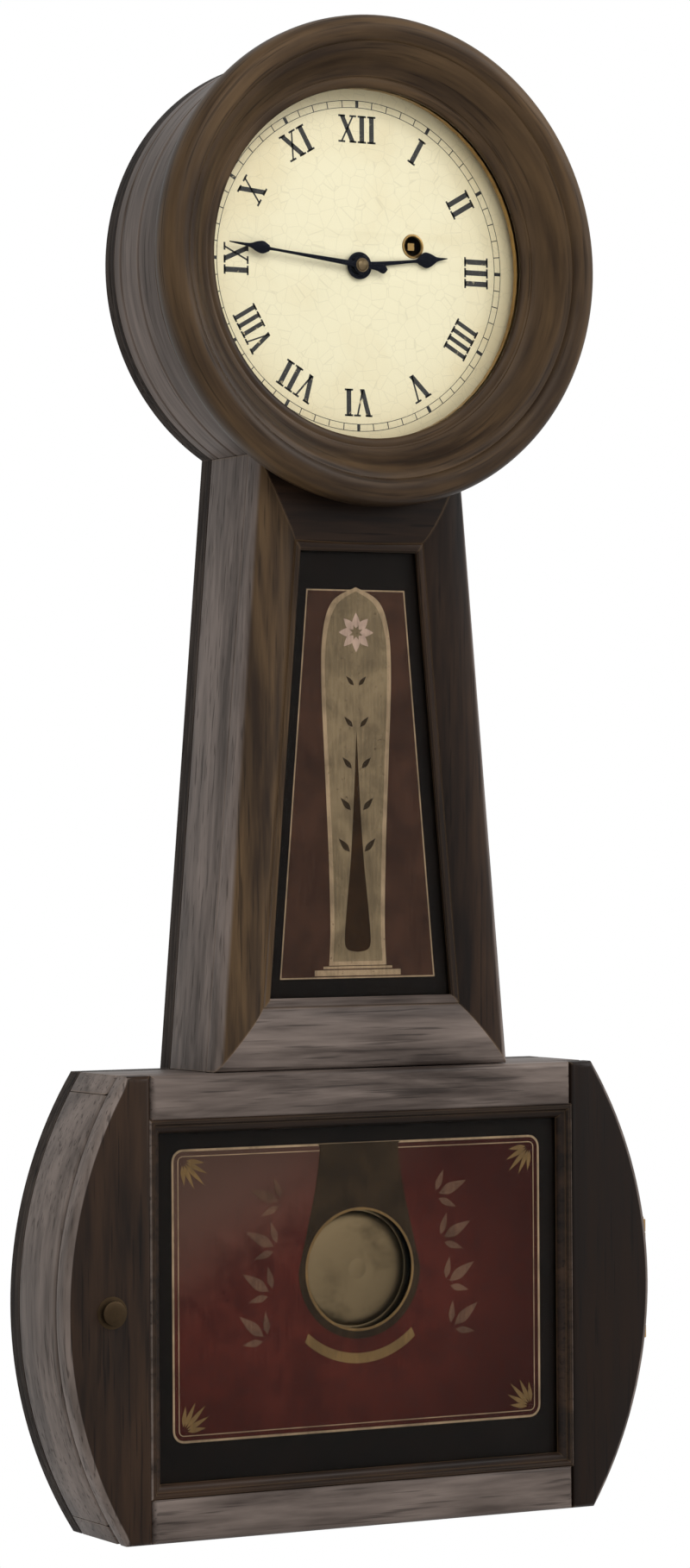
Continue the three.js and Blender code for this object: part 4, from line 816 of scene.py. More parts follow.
def carved(mesh, cuts):
    """A mesh with other closed meshes cut out of it."""
    thing = bpy.data.objects.new("carved", mesh)
    cutters = [bpy.data.objects.new("cutter", cut) for cut in cuts]
    for cutter in cutters:
        modifier = thing.modifiers.new("cut", "BOOLEAN")
        modifier.operation = "DIFFERENCE"
        modifier.solver = "EXACT"
        modifier.object = cutter
    return tidy_mesh(worked(thing, cutters))


def sawn(name, outlines, back, front, edge=0.0, steps=3):
    """Flat stock cut to closed outlines in X and Z, holes included, with its edges rounded."""
    curve = bpy.data.curves.new(name, "CURVE")
    curve.dimensions = "2D"
    curve.fill_mode = "BOTH"
    curve.extrude = ((front - back) / 2 - edge) / MM
    curve.bevel_depth = edge / MM
    curve.bevel_resolution = steps
    curve.offset = -edge / MM
    for outline in outlines:
        spline = curve.splines.new("POLY")
        spline.points.add(len(outline) - 1)
        for point, (x, z) in zip(spline.points, outline):
            point.co = (x / MM, z / MM, 0, 1)
        spline.use_cyclic_u = True
    mesh = worked(bpy.data.objects.new(name, curve))
    bpy.data.curves.remove(curve)
    upright = Matrix.Rotation(QUARTER_TURN, 4, "X") @ Matrix.Scale(MM, 4)
    mesh.transform(Matrix.Translation((0, -(back + front) / 2, 0)) @ upright)
    return tidy_mesh(mesh)


def flat(name, outlines, back, front):
    """Thin shapes without holes, such as ink and paint, each with a square edge."""
    points = []
    faces = []
    for outline in outlines:
        first = len(points)
        count = len(outline)
        points += [(x, -depth, z) for depth in (back, front) for x, z in outline]
        faces.append([first + i for i in range(count)])
        faces.append([first + count + i for i in range(count)])
        faces += [(first + i, first + (i + 1) % count, first + count + (i + 1) % count,
                   first + count + i) for i in range(count)]
    return tidy_mesh(add_mesh(name, points, faces))


def turned(name, profile, sides, closed=False):
    """A profile of (radius, depth) turned about the Y axis through the origin."""
    points = []
    rings = []
    for radius, depth in profile:
        if radius < ON_AXIS:
            rings.append([len(points)] * sides)
            points.append((0, -depth, 0))
        else:
            rings.append(list(range(len(points), len(points) + sides)))
            points.extend((x, -depth, z) for x, z in circle(radius, sides))
    pairs = list(zip(rings, rings[1:])) + ([(rings[-1], rings[0])] if closed else [])
    faces = []
    for near, far in pairs:
        for i in range(sides):
            k = (i + 1) % sides
            corners = list(dict.fromkeys((near[i], near[k], far[k], far[i])))
            if len(corners) > 2:
                faces.append(corners)
    return tidy_mesh(add_mesh(name, points, faces), smooth_below=math.radians(28))


def skin(name, sections, closed=False):
    """A solid through a row of closed sections with as many points each."""
    size = len(sections[0])
    count = len(sections)
    points = [point for section in sections for point in section]
    faces = []
    for i in range(count if closed else count - 1):
        near, far = i * size, (i + 1) % count * size
        for j in range(size):
            k = (j + 1) % size
            faces.append((near + j, near + k, far + k, far + j))
    if not closed:
        faces.append(list(range(size)))
        faces.append([(count - 1) * size + j for j in range(size)])
    return tidy_mesh(add_mesh(name, points, faces), smooth_below=math.radians(32))


def moulding(name, path, profile):
    """A closed profile of (offset inward, depth) run round a closed path with mitres."""
    sections = []
    for i, corner in enumerate(path):
        here = Vector(corner)
        one = (here - Vector(path[i - 1])).normalized()
        two = (Vector(path[(i + 1) % len(path)]) - here).normalized()
        inward = Vector((-one.y - two.y, one.x + two.x)).normalized()
        inward /= inward.dot(Vector((-one.y, one.x)))
        sections.append([(here.x + inward.x * offset, -depth, here.y + inward.y * offset)
                         for offset, depth in profile])
    return skin(name, sections, closed=True)


def rope(name, path, radius, sides):
    """A round line along points in space."""
    sections = []
    for i, point in enumerate(path):
        along = (path[min(i + 1, len(path) - 1)] - path[max(i - 1, 0)]).normalized()
        across = along.cross(Vector((0, 1, 0))).normalized()
        up = across.cross(along)
        sections.append([point + across * (radius * x) + up * (radius * z)
                         for x, z in circle(1, sides)])
    return skin(name, sections)


def screw_head(radius, x, z, seat, height, slot_turn, facing_wall=False):
    """A slotted head: a turned rim with two rounded halves standing on it."""
    inner, slot_half = radius * 0.93, radius * 0.16
    top = height * 0.55
    rim = turned("rim", [(0, 0), (radius, 0), (radius, height * 0.45), (radius * 0.94, top),
                         (0, top)], 28)
    start = math.asin(slot_half / inner)
    half = arc(inner, start, math.pi - start, 14)
    other = [(-px, -pz) for px, pz in half]
    tops = sawn("tops", [half, other], height * 0.5, height, height * 0.2, 2)
    head = moved(joined("screw", [rim, tops]), turn=slot_turn)
    if facing_wall:
        head.transform(Matrix.Rotation(math.pi, 4, "Z"))
    return moved(head, x, seat, z)


# Seats and openings that are cut in the case and its doors

def hinge_place(name):
    """A hinge's pin (x, depth and knuckle radius), its leaves' inner edge, middle and half height."""
    low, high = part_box(f"{name}_case_leaf")
    radius = (high.y - low.y) / 2
    return (high.x - radius, -(low.y + high.y) / 2, radius, low.x, (low.z + high.z) / 2,
            (high.z - low.z) / 2)


def hinge_places(door):
    """The places of a door's lower and upper hinge."""
    return [hinge_place(f"{door}_hinge_{level}") for level in ("lower", "upper")]


def leaf_seats(door, way):
    """The shallow seats of a door's two hinges, with way -1 in the case and 1 in the door."""
    seats = []
    for axis_x, axis_depth, radius, inner, middle, half in hinge_places(door):
        near, far = sorted((axis_depth - way * OVERRUN,
                            axis_depth + way * (LEAF_GAP + LEAF_THICKNESS + FIT)))
        outline = box_outline(inner - FIT, axis_x + radius, middle - half - FIT, middle + half + FIT)
        seats.append(sawn("seat", [outline], near, far))
    return seats


def knuckle_seats(door):
    """The round room that the knuckles of a door's two hinges take."""
    seats = []
    for axis_x, axis_depth, radius, _, middle, half in hinge_places(door):
        reach = half + 2 * OVERRUN
        wide = radius + DOOR_GAP
        seat = turned("knuckles", [(0, -reach), (wide, -reach), (wide, reach), (0, reach)], 32)
        seats.append(stood(seat, axis_x, axis_depth, middle))
    return seats


def stud_hole():
    """The hole in the drum's face for the bezel's catch stud."""
    back, front = depths("bezel_catch_stud")
    outline = circle(half_size("bezel_catch_stud")[0] + FIT, 32, *centre("bezel_catch_stud"))
    return sawn("stud_hole", [outline], back - DOOR_GAP - FIT, front + OVERRUN)


def throat_way():
    """The opening in the drum through which rod, line and weight pass into the throat."""
    low = -HEAD_REACH - OVERRUN
    high = -DRUM_BORE / 2
    wide = throat_half(low) - BOARD
    narrow = throat_half(high) - BOARD
    outline = [(-wide, low), (wide, low), (narrow, high), (-narrow, high)]
    return sawn("throat_way", [outline], BOARD_FRONT - OVERRUN, SIDE_FRONT)


def latch_mortise():
    """The slot in the left side board that the latch's tongue turns up into."""
    back = depths("box_door_latch")[0]
    reach = BOX_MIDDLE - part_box("box_door_latch")[0].z
    half = half_size("box_door_latch")[0] / 2
    outline = box_outline(-LATCH_PLACE - reach - DOOR_GAP, -BOX_WIDE + BOARD + OVERRUN,
                          BOX_MIDDLE - reach, BOX_MIDDLE + half + DOOR_GAP)
    return sawn("mortise", [outline], back - FIT, back + TONGUE_THICKNESS + FIT)


# Case

def box_edge(low, high, inset=0.0, steps=40):
    """The right-hand curved edge of the box, from low to high."""
    heights = [low + (high - low) * i / steps for i in range(steps + 1)]
    return [(box_half(height, inset), height) for height in heights]


def make_backboard():
    """The backboard in three layers: the hanger plate's recess, the pocket behind it, the front."""
    edge = bpy.context.scene.clock_sizes.board_edge
    foot = throat_half(BOX_TOP)
    neck = throat_half(-DRUM_BORE)
    start = math.atan2(-math.sqrt(DRUM_RADIUS ** 2 - neck ** 2), neck)
    right = box_edge(BOX_BOTTOM, BOX_TOP) + [(foot, BOX_TOP)]
    head = arc(DRUM_RADIUS, start, math.pi - start, 150)
    outline = right + head + mirrored(right)
    low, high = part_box("hanger_plate")
    recess = box_outline(low.x - FIT, high.x + FIT, low.z - FIT, high.z + FIT)
    half = half_size("hanger_plate")[0] / 2
    pocket = box_outline(-half, half, centre("hanger_plate")[1] - half, high.z - half)
    seat = depths("hanger_plate")[1] + FIT
    pocket_floor = seat + (BOARD_FRONT - seat) / 2
    layers = [sawn("back", [outline, recess], 0, seat + edge / 4, edge / 4),
              sawn("pocket", [outline, pocket], seat, pocket_floor + edge / 4, edge / 4),
              sawn("front", [outline], pocket_floor, BOARD_FRONT, edge / 2)]
    piece("backboard_board", joined("board", layers), "case", "wood_back", ["backboard"])


def make_head():
    """The head's round wall, with turned grooves outside and the dial's seat in front."""
    sides = bpy.context.scene.clock_sizes.ring_sides
    back, front = depths("head_drum")
    seat = depths("dial")[0] - FIT
    seat_radius = DIAL_RADIUS + FIT
    soft = 1.2 * MM
    groove = 1.1 * MM
    groove_shares = (0.13, 0.5, 0.87)
    profile = [(DRUM_BORE, back), (DRUM_RADIUS, back)]
    for share in groove_shares:
        middle = back + (front - back) * share
        profile += [(DRUM_RADIUS, middle - groove), (DRUM_RADIUS - groove, middle - groove / 3),
                    (DRUM_RADIUS - groove, middle + groove / 3), (DRUM_RADIUS, middle + groove)]
    profile += [(DRUM_RADIUS, front - soft), (DRUM_RADIUS - soft * 0.3, front - soft * 0.3),
                (DRUM_RADIUS - soft, front), (seat_radius, front), (seat_radius, seat),
                (DRUM_BORE, seat)]
    ring = turned("drum", profile, sides, closed=True)
    ring = carved(ring, [throat_way(), stud_hole(), *leaf_seats("bezel", -1)])
    # The drum's finish carries painted light on its side and painted shade near the wall
    piece("head_drum_ring", ring, "case", "faded_round", ["head_drum"])


def make_case_boards():
    """The box's bottom, its curved sides, the boards on its top and the throat's sides."""
    edge = bpy.context.scene.clock_sizes.board_edge
    back, front = depths("box_side_right")
    low, high = (corner.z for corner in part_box("box_side_right"))
    side = box_edge(low, high) + list(reversed(box_edge(low, high, BOARD)))
    low, high = (corner.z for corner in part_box("box_bottom_board"))
    under = box_edge(low, high, steps=6)
    piece("box_bottom", sawn("bottom", [under + mirrored(under)], back, front, edge), "case",
          "faded_across", ["box_bottom_board"])
    low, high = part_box("box_top_right")
    top = [(low.x, low.z)] + box_edge(low.z, high.z, steps=6) + [(low.x, high.z)]
    foot, neck = (corner.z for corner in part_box("throat_side_right"))
    throat = [(throat_half(foot) - BOARD, foot), (throat_half(foot), foot)]
    shoulder_steps = 8
    for i in range(shoulder_steps + 1):
        x = throat_half(neck) - BOARD * i / shoulder_steps
        throat.append((x, -math.sqrt(HEAD_REACH ** 2 - x ** 2)))
    # The boards' finishes carry painted light on the sides and painted shade near the wall
    for node, outline, finish in (("box_side", side, "faded_upright"), ("box_top", top, "faded_across"),
                                  ("throat_side", throat, "faded_upright")):
        for hand in ("right", "left"):
            shape = outline if hand == "right" else mirrored(outline)
            board = sawn(node, [shape], back, front, edge)
            if node == "box_side":
                board = carved(board, leaf_seats("box", -1) if hand == "right" else [latch_mortise()])
            piece(f"{node}_board_{hand}", board, "case", finish, [f"{node}_{hand}"])


def throat_opening():
    """The throat's sight: its lowest and highest points and the width of its stiles."""
    low = throat_glass_low.z + GLASS_REACH - FIT
    high = throat_glass_high.z - GLASS_REACH + FIT
    stile = throat_half(throat_glass_low.z) - throat_glass_high.x + GLASS_REACH - FIT
    return low, high, stile


def throat_ring(share, top_steps=24):
    """The throat frame's outline part of the way from its opening, 0, to its outer edge, 1."""
    low, high, stile = throat_opening()
    bottom = low + (THROAT_BOTTOM - low) * share
    inset = stile * (1 - share)

    def crown(x):
        return high - (math.sqrt(HEAD_REACH ** 2 - x ** 2) + high) * share

    # The corner lies where the stile's edge meets the crown. Each round comes nearer to it.
    corner = throat_half(high) - inset
    for _ in range(8):
        corner = throat_half(crown(corner)) - inset
    foot = throat_half(bottom) - inset
    across = [corner - 2 * corner * i / top_steps for i in range(top_steps + 1)]
    return [(-foot, bottom), (foot, bottom)] + [(x, crown(x)) for x in across]


# The throat frame's moulding: shares of its width from the opening, and of its height
THROAT_FACE = (
    (0, 0), (0, 0.25), (0.03, 0.42), (0.07, 0.47), (0.11, 0.42), (0.13, 0.3), (0.17, 0.46),
    (0.25, 0.7), (0.36, 0.88), (0.5, 0.98), (0.6, 1), (0.72, 0.97), (0.84, 0.87), (0.93, 0.7),
    (0.98, 0.5), (1, 0.3))


def make_throat_frame():
    """The throat's moulded frame, mitred at its corners, as four runs of wood."""
    back, front = SIDE_FRONT + SHADOW_GAP, depths("throat_frame")[1]
    seat = depths("throat_glass")[1] + FIT
    rise = front - seat
    rebate = GLASS_REACH / throat_opening()[2]
    profile = [(share, seat + lift * rise) for share, lift in THROAT_FACE]
    profile += [(1, back), (rebate, back), (rebate, seat)]
    rings = [throat_ring(share) for share, _ in profile]
    count = len(rings[0])
    # The left stile takes the lighter case wood and the right stile the darker stile wood: painted light
    # from the left
    runs = (("bottom", 0, 1, "lit_rail_across"), ("right", 1, 2, "stile_upright"),
            ("top", 2, count - 1, "stile_across"), ("left", count - 1, count, "wood_upright"))
    for label, first, last, finish in runs:
        sections = []
        for column in range(first, last + 1):
            corners = [ring[column % count] for ring in rings]
            sections.append([(x, -depth, z) for (x, z), (_, depth) in zip(corners, profile)])
        piece(f"throat_frame_{label}", skin(label, sections), "case", finish,
              ["throat_frame"])


def make_box_door():
    """The door's two curved stiles, its rails and the bead round its glass."""
    sizes = bpy.context.scene.clock_sizes
    back, front = SIDE_FRONT + SHADOW_GAP, depths("box_door_frame")[1]
    half, low, high = door_opening()
    edge = sizes.frame_edge
    seat = depths("box_door_glass")[1] + FIT
    stile = [(half, BOX_BOTTOM), *box_edge(BOX_BOTTOM, BOX_TOP), (half, BOX_TOP)]
    hole = circle(LATCH_HOLE, 32, -LATCH_PLACE, BOX_MIDDLE)
    hinged = carved(sawn("stile", [stile], back, front, edge), leaf_seats("box", 1))
    piece("box_door_stile_right", hinged, "box_door", "shaded_upright",
          ["box_door_frame"])
    piece("box_door_stile_left", sawn("stile", [mirrored(stile), hole], back, front, edge),
          "box_door", "stile_upright", ["box_door_frame"])
    # The rails take the lighter rail wood: painted sheen
    for label, bottom, top in (("bottom", BOX_BOTTOM, low), ("top", high, BOX_TOP)):
        rail = sawn("rail", [box_outline(-half, half, bottom, top)], back, front, edge)
        piece(f"box_door_rail_{label}", rail, "box_door", "lit_rail_across",
              ["box_door_frame"])
    bead = sizes.bead_width
    crest = front - 0.4 * MM
    steps = ((-0.2, 0.2), (0, 0), (0.2, 0), (0.34, 0.12), (0.4, 0.3), (0.6, 0.36), (0.82, 0.52),
             (0.95, 0.72))
    section = [(-bead * 0.2, seat), *((bead * out, crest - bead * drop) for out, drop in steps),
               (bead, seat)]
    path = box_outline(-half, half, low, high)
    piece("box_door_bead", moulding("bead", path, section), "box_door", "stile_across",
          ["box_door_frame"])


def door_opening():
    """The box door's sight: half its width, its lowest and its highest point."""
    return (glass_high.x - GLASS_REACH + FIT, glass_low.z + GLASS_REACH - FIT,
            glass_high.z - GLASS_REACH + FIT)


# Head

# The bezel's moulding: shares of its width from the sight's edge, and of its depth
BEZEL_FACE = (
    (0.75, 0), (0.79, 0.11), (0.86, 0.2), (0.93, 0.3), (0.975, 0.42), (0.996, 0.54), (1, 0.66),
    (0.992, 0.76), (0.97, 0.85), (0.93, 0.925), (0.88, 0.97), (0.82, 0.994), (0.76, 1),
    (0.69, 0.98), (0.645, 0.945), (0.615, 0.905), (0.605, 0.87), (0.59, 0.862), (0.55, 0.85),
    (0.50, 0.805), (0.44, 0.725), (0.38, 0.635), (0.32, 0.55), (0.26, 0.475), (0.2, 0.415),
    (0.16, 0.39), (0.15, 0.365), (0.13, 0.355), (0.1, 0.365), (0.06, 0.36), (0.025, 0.342),
    (0.004, 0.318), (0, 0.3))


def make_bezel():
    """The bezel's turned ring, cut for its hinges, and its catch stud."""
    sizes = bpy.context.scene.clock_sizes
    back, front = depths("bezel_ring")
    width = BEZEL_RADIUS - SIGHT_RADIUS
    thick = front - back
    seat_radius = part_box("bezel_glass")[1].x + FIT
    seat = depths("bezel_glass")[1] + FIT
    profile = [(seat_radius, back)]
    profile += [(SIGHT_RADIUS + out * width, back + forward * thick) for out, forward in BEZEL_FACE]
    profile += [(SIGHT_RADIUS, seat), (seat_radius, seat)]
    ring = turned("bezel", profile, sizes.ring_sides, closed=True)
    ring = carved(ring, [*leaf_seats("bezel", 1), *knuckle_seats("bezel")])
    piece("bezel_moulding", ring, "bezel", "wood_round", ["bezel_ring"])
    stud_back, stud_front = depths("bezel_catch_stud")
    radius = half_size("bezel_catch_stud")[0]
    neck = radius * 0.7
    stud = turned("stud", [(0, stud_back), (radius * 0.6, stud_back), (radius, stud_back + radius * 0.5),
                           (radius, stud_back + radius), (neck, stud_back + radius * 1.2),
                           (neck, stud_front - radius * 0.4), (radius, stud_front - radius * 0.3),
                           (radius, stud_front), (0, stud_front)], 32)
    piece("catch_stud", moved(stud, centre("bezel_catch_stud")[0]), "bezel", "brass_turned",
          ["bezel_catch_stud"])


def serif(x, z, reach, thick):
    return box_outline(x - reach, x + reach, z - thick, z + thick)


def stroke(x0, z0, x1, z1, width):
    return [(x0 - width / 2, z0), (x0 + width / 2, z0), (x1 + width / 2, z1), (x1 - width / 2, z1)]


def letter(kind):
    """A Roman numeral's letter one unit high: its width and its strokes."""
    thick, thin, foot = 0.19, 0.07, 0.035
    ends = (foot, 1 - foot)
    if kind == "I":
        wide = 0.4
        shapes = [stroke(wide / 2, 0, wide / 2, 1, thick)]
        shapes += [serif(wide / 2, z, wide / 2 - 0.03, foot) for z in ends]
    elif kind == "V":
        wide = 0.8
        shapes = [stroke(0.45, 0, 0.17, 1, thick), stroke(0.42, 0, 0.65, 1, thin)]
        shapes += [serif(x, 1 - foot, 0.14, foot) for x in (0.17, 0.65)]
    else:
        wide = 0.8
        shapes = [stroke(0.63, 0, 0.17, 1, thick), stroke(0.15, 0, 0.64, 1, thin)]
        shapes += [serif(x, z, 0.14, foot) for x in (0.17, 0.63) for z in ends]
    return wide, shapes


def numeral(word, height, radius, angle, narrow):
    """The strokes of one numeral, its foot toward the dial's centre."""
    place = -sum(letter(kind)[0] for kind in word) / 2
    outlines = []
    for kind in word:
        wide, shapes = letter(kind)
        for shape in shapes:
            spots = [((place + x) * height * narrow, radius + (z - 0.5) * height) for x, z in shape]
            outlines.append(leaning(spots, angle))
        place += wide
    return outlines


HOURS = ("XII", "I", "II", "III", "IIII", "V", "VI", "VII", "VIII", "IX", "X", "XI")


def make_dial():
    """The dial's plate, numerals and minute track, the winding hole's grommet and the screws."""
    sizes = bpy.context.scene.clock_sizes
    back, front = depths("dial")
    holes = [circle(CENTRE_HOLE, 48), circle(WINDING_HOLE, 48, WINDING_X, WINDING_Z)]
    plate = sawn("dial", [circle(DIAL_RADIUS, sizes.ring_sides), *holes], back, front, 0.2 * MM)
    piece("dial_plate", plate, "case", "dial", ["dial"])
    ink = front + sizes.paint_thickness
    strokes = []
    for hour, word in enumerate(HOURS):
        narrow = 0.82 if len(word) == 4 else 1.0
        strokes += numeral(word, sizes.numeral_height, NUMERAL_RADIUS, FULL_TURN * hour / 12, narrow)
    piece("dial_numerals", flat("numerals", strokes, front, ink), "case", "ink")
    outer = TRACK_RADIUS
    inner = TRACK_RADIUS - sizes.track_width
    line, hour_tick, minute_tick = 0.3 * MM, 0.85 * MM, 0.22 * MM
    rings = [turned("ring", [(r - line, front), (r, front), (r, ink), (r - line, ink)],
                    sizes.ring_sides, closed=True) for r in (outer, inner)]
    ticks = []
    for minute in range(60):
        half = minute_tick if minute % 5 else hour_tick
        tick = box_outline(-half, half, inner, outer - line)
        ticks.append(leaning(tick, FULL_TURN * minute / 60))
    track = joined("track", rings + [flat("ticks", ticks, front, ink)])
    piece("dial_minute_track", track, "case", "ink")
    lip = 1.1 * MM
    steps = ((-0.3, -0.6), (0, 0), (1, 0), (0.8, 0.3), (0.1, 0.4), (-0.3, 0))
    section = [(WINDING_HOLE + lip * out, front + lip * rise) for out, rise in steps]
    grommet = moved(turned("grommet", section, 64, closed=True), WINDING_X, 0, WINDING_Z)
    piece("winding_hole_grommet", grommet, "case", "brass_turned")
    places = circle(DIAL_SCREW_RADIUS, 4, start=FULL_TURN / 8)
    screws = [screw_head(2 * MM, x, z, front, 1.1 * MM, turn) for turn, (x, z) in enumerate(places)]
    piece("dial_screws", joined("screws", screws), "case", "brass_turned")


def hand_shape(length, blade_shares, hub, tail):
    """A hand's outline with its point up, round its hub and with its tail down."""
    blade = smooth([(x * length, z * length) for x, z in blade_shares], 5)
    root = math.asin(blade[0][0] / hub)
    right = []
    start = -QUARTER_TURN
    if tail:
        wide = hub * 0.3
        right = smooth([(0, -tail), (wide * 1.7, -tail * 0.86), (wide, -tail * 0.6),
                        (wide * 0.8, -hub * 1.1)], 4)
        start += math.asin(wide * 0.8 / hub)
    right += arc(hub, start, QUARTER_TURN - root, 18) + blade[1:]
    return both_sides(right)


# The hands' half widths at heights along them, both as shares of a hand's length
HOUR_BLADE = (
    (0.03, 0.1), (0.022, 0.3), (0.016, 0.62), (0.04, 0.68), (0.078, 0.75), (0.058, 0.82),
    (0.024, 0.88), (0.011, 0.95), (0.0045, 1))
MINUTE_BLADE = (
    (0.019, 0.07), (0.014, 0.3), (0.009, 0.66), (0.022, 0.705), (0.042, 0.75), (0.032, 0.80),
    (0.013, 0.85), (0.007, 0.94), (0.0032, 1))


def make_hands():
    """Both hands with their bosses, and the collet that holds them on the shaft."""
    for node, body, shares, tail in (("hour_hand", "hour_wheel", HOUR_BLADE, 0.0),
                                     ("minute_hand", "center_arbor", MINUTE_BLADE, MINUTE_TAIL)):
        back, front = depths(node)
        points = node_points(node)
        tip = max(points, key=lambda point: point.x ** 2 + point.z ** 2)
        length = math.hypot(tip.x, tip.z)
        bore = min(math.hypot(point.x, point.z) for point in points)
        shape = hand_shape(length, shares, bore + HUB_WALL, tail)
        blade = sawn(node, [shape, circle(bore, 36)], back, front, 0.16 * MM, 2)
        inner = bore + 0.05 * MM
        outer = bore + 0.6 * HUB_WALL
        boss = turned("boss", [(inner, back), (outer, back), (outer, front),
                               (bore + HUB_WALL * 0.5, front + 0.25 * MM), (inner, front + 0.3 * MM)],
                      48, closed=True)
        mesh = moved(joined(node, [blade, boss]), turn=math.atan2(tip.x, tip.z))
        piece(f"{node}_blade", mesh, body, "blued", [node])
    front = depths("minute_hand")[1] + FIT
    end = depths("center_wheel")[1]
    wide = 3.4 * MM
    dome = ((0, 0.5), (0.3, 0.45), (0.6, 0.2), (0.8, -0.2))
    foot = ((0.85, 0.35), (1, 0.3), (1, 0), (0, 0))
    collet = [(wide * out, end + rise * MM) for out, rise in dome]
    collet += [(wide * out, front + rise * MM) for out, rise in foot]
    piece("hand_collet", turned("collet", collet, 64), "center_arbor", "brass_dark")


# Painted glasses

TABLETS = {"throat": ("throat_glass", "case", "throat_tablet"),
           "door": ("box_door_glass", "box_door", "door_tablet")}


def pane(tablet, outline):
    """The clear glass of a tablet, in front of the paint on its back."""
    node, body, slot = TABLETS[tablet]
    back, front = depths(node)
    name = f"{tablet}_pane"
    glass = sawn(name, [outline], back + PANE_BACK, front, PANE_EDGE, 2)
    piece(name, glass, body, "glass", [node])


def coat(tablet, label, layer, outlines, finish, holes=False):
    """One coat of paint on the back of a glass. The first layer lies farthest from the glass."""
    node, body, slot = TABLETS[tablet]
    back = depths(node)[0] + layer * LAYER_STEP
    front = back + bpy.context.scene.clock_sizes.paint_thickness
    name = f"{tablet}_{label}"
    mesh = sawn(name, outlines, back, front) if holes else flat(name, outlines, back, front)
    piece(name, mesh, body, finish)


def leaf(length, wide, x, z, angle, out=0.0):
    """A pointed leaf that starts out from x, z, leaning clockwise from upright."""
    shape = [(0, 0), (wide * 0.5, length * 0.3), (wide * 0.42, length * 0.6), (0, length)]
    right = smooth([(px, pz + out) for px, pz in shape], 5)
    return leaning(both_sides(right), angle, x, z)


def throat_shape(inset, low, high):
    """The throat glass's outline, in by an inset from its side edges."""
    foot = throat_glass_high.x
    head = half_width("throat_glass", throat_glass_high.z)

    def side(z):
        share = (z - throat_glass_low.z) / (throat_glass_high.z - throat_glass_low.z)
        return foot + (head - foot) * share - inset
    return [(-side(low), low), (side(low), low), (side(high), high), (-side(high), high)]


def panel_shape(inset):
    """The throat's pointed panel, in by an inset all round."""
    half = [(16, 0), (15.2, 0.1), (16, 0.3), (18, 0.55), (19.5, 0.75), (18.5, 0.88), (13, 0.962),
            (0, 1)]
    tall = PANEL_HEAD - PANEL_FOOT - 2 * inset
    aside = 1.1 * inset
    return both_sides(smooth([(max(x * MM - aside, 0), PANEL_FOOT + inset + share * tall)
                              for x, share in half]))


def make_throat_tablet():
    """A pointed tan panel with a spire, sprays and a rosette, on a brown field."""
    low, high = throat_glass_low.z, throat_glass_high.z
    foot = PANEL_FOOT
    tall = PANEL_HEAD - foot
    field_low, field_high = low + 1.2 * THROAT_RIM, high - 2 * THROAT_RIM
    field = throat_shape(THROAT_RIM, field_low, field_high)
    line = 0.7 * MM
    edge = throat_shape(THROAT_RIM - line, field_low - line, field_high + line)
    pane("throat", throat_shape(0, low, high))
    coat("throat", "ground", 0, [throat_shape(FIT, low + FIT, high - FIT)], "tablet_ground")
    coat("throat", "field", 1, [field], "throat_field")
    coat("throat", "edge_line", 2, [edge, field], "tablet_line", holes=True)
    panel = panel_shape(0)
    coat("throat", "panel", 2, [panel], "tablet_panel")
    coat("throat", "panel_line", 3, [panel, panel_shape(2 * MM)], "tablet_line", holes=True)
    bar = 24 * MM
    bars = [box_outline(-bar, bar, foot - 5 * MM, foot - 2.2 * MM),
            box_outline(-bar * 0.8, bar * 0.8, foot - 1.6 * MM, foot - 0.4 * MM)]
    coat("throat", "foot_bars", 3, bars, "tablet_line")
    half_spire = [(0, 0.62), (1.6, 0.45), (3.6, 0.28), (6.4, 0.13), (6.8, 0.05), (0, 0.035)]
    spire = both_sides(smooth([(x * MM, foot + share * tall) for x, share in half_spire]))
    coat("throat", "spire", 3, [spire], "tablet_leaf")
    sprays = []
    for i in range(5):
        z = foot + (0.3 + 0.11 * i) * tall
        reach = (9 - 0.7 * i) * MM
        stem = (4.2 - 0.7 * i) * MM
        for hand in (1, -1):
            sprays.append(leaf(reach, reach * 0.32, hand * stem, z, hand * 0.75))
    coat("throat", "sprays", 3, sprays, "tablet_shade")
    rosette = foot + 0.88 * tall
    petal, petal_width, eye = 7.6 * MM, 3.9 * MM, 1.7 * MM
    petals = [leaf(petal, petal_width, 0, rosette, FULL_TURN * i / 8, 2.1 * MM) for i in range(8)]
    coat("throat", "rosette", 4, petals, "tablet_blush")
    coat("throat", "rosette_eye", 5, [circle(eye, 24, 0, rosette)], "tablet_panel")


def field_shape(inset):
    """The door's bordered field, in by an inset all round."""
    wide = glass_high.x - DOOR_RIM - inset
    return soft_box(-wide, wide, glass_low.z + DOOR_FOOT_RIM + inset, glass_high.z - DOOR_RIM - inset,
                    FIELD_CORNER - inset)


def window_shape(margin=0.0):
    return circle(WINDOW_RADIUS + margin, 96, 0, BOB_Z)


def door_sprays():
    """Three leaves in four places on each side of the window."""
    leaves = ((17 * MM, 1.2), (11 * MM, 0.4), (11 * MM, 2.0))
    sprays = []
    for i in range(4):
        z = BOB_Z + (34 - 22 * i) * MM
        for hand in (1, -1):
            x = hand * (WINDOW_RADIUS + (13 + 3 * i) * MM)
            for reach, turn in leaves:
                sprays.append(leaf(reach, reach * 0.3, x, z, hand * (turn - 0.1 * i), 3 * MM))
    return sprays


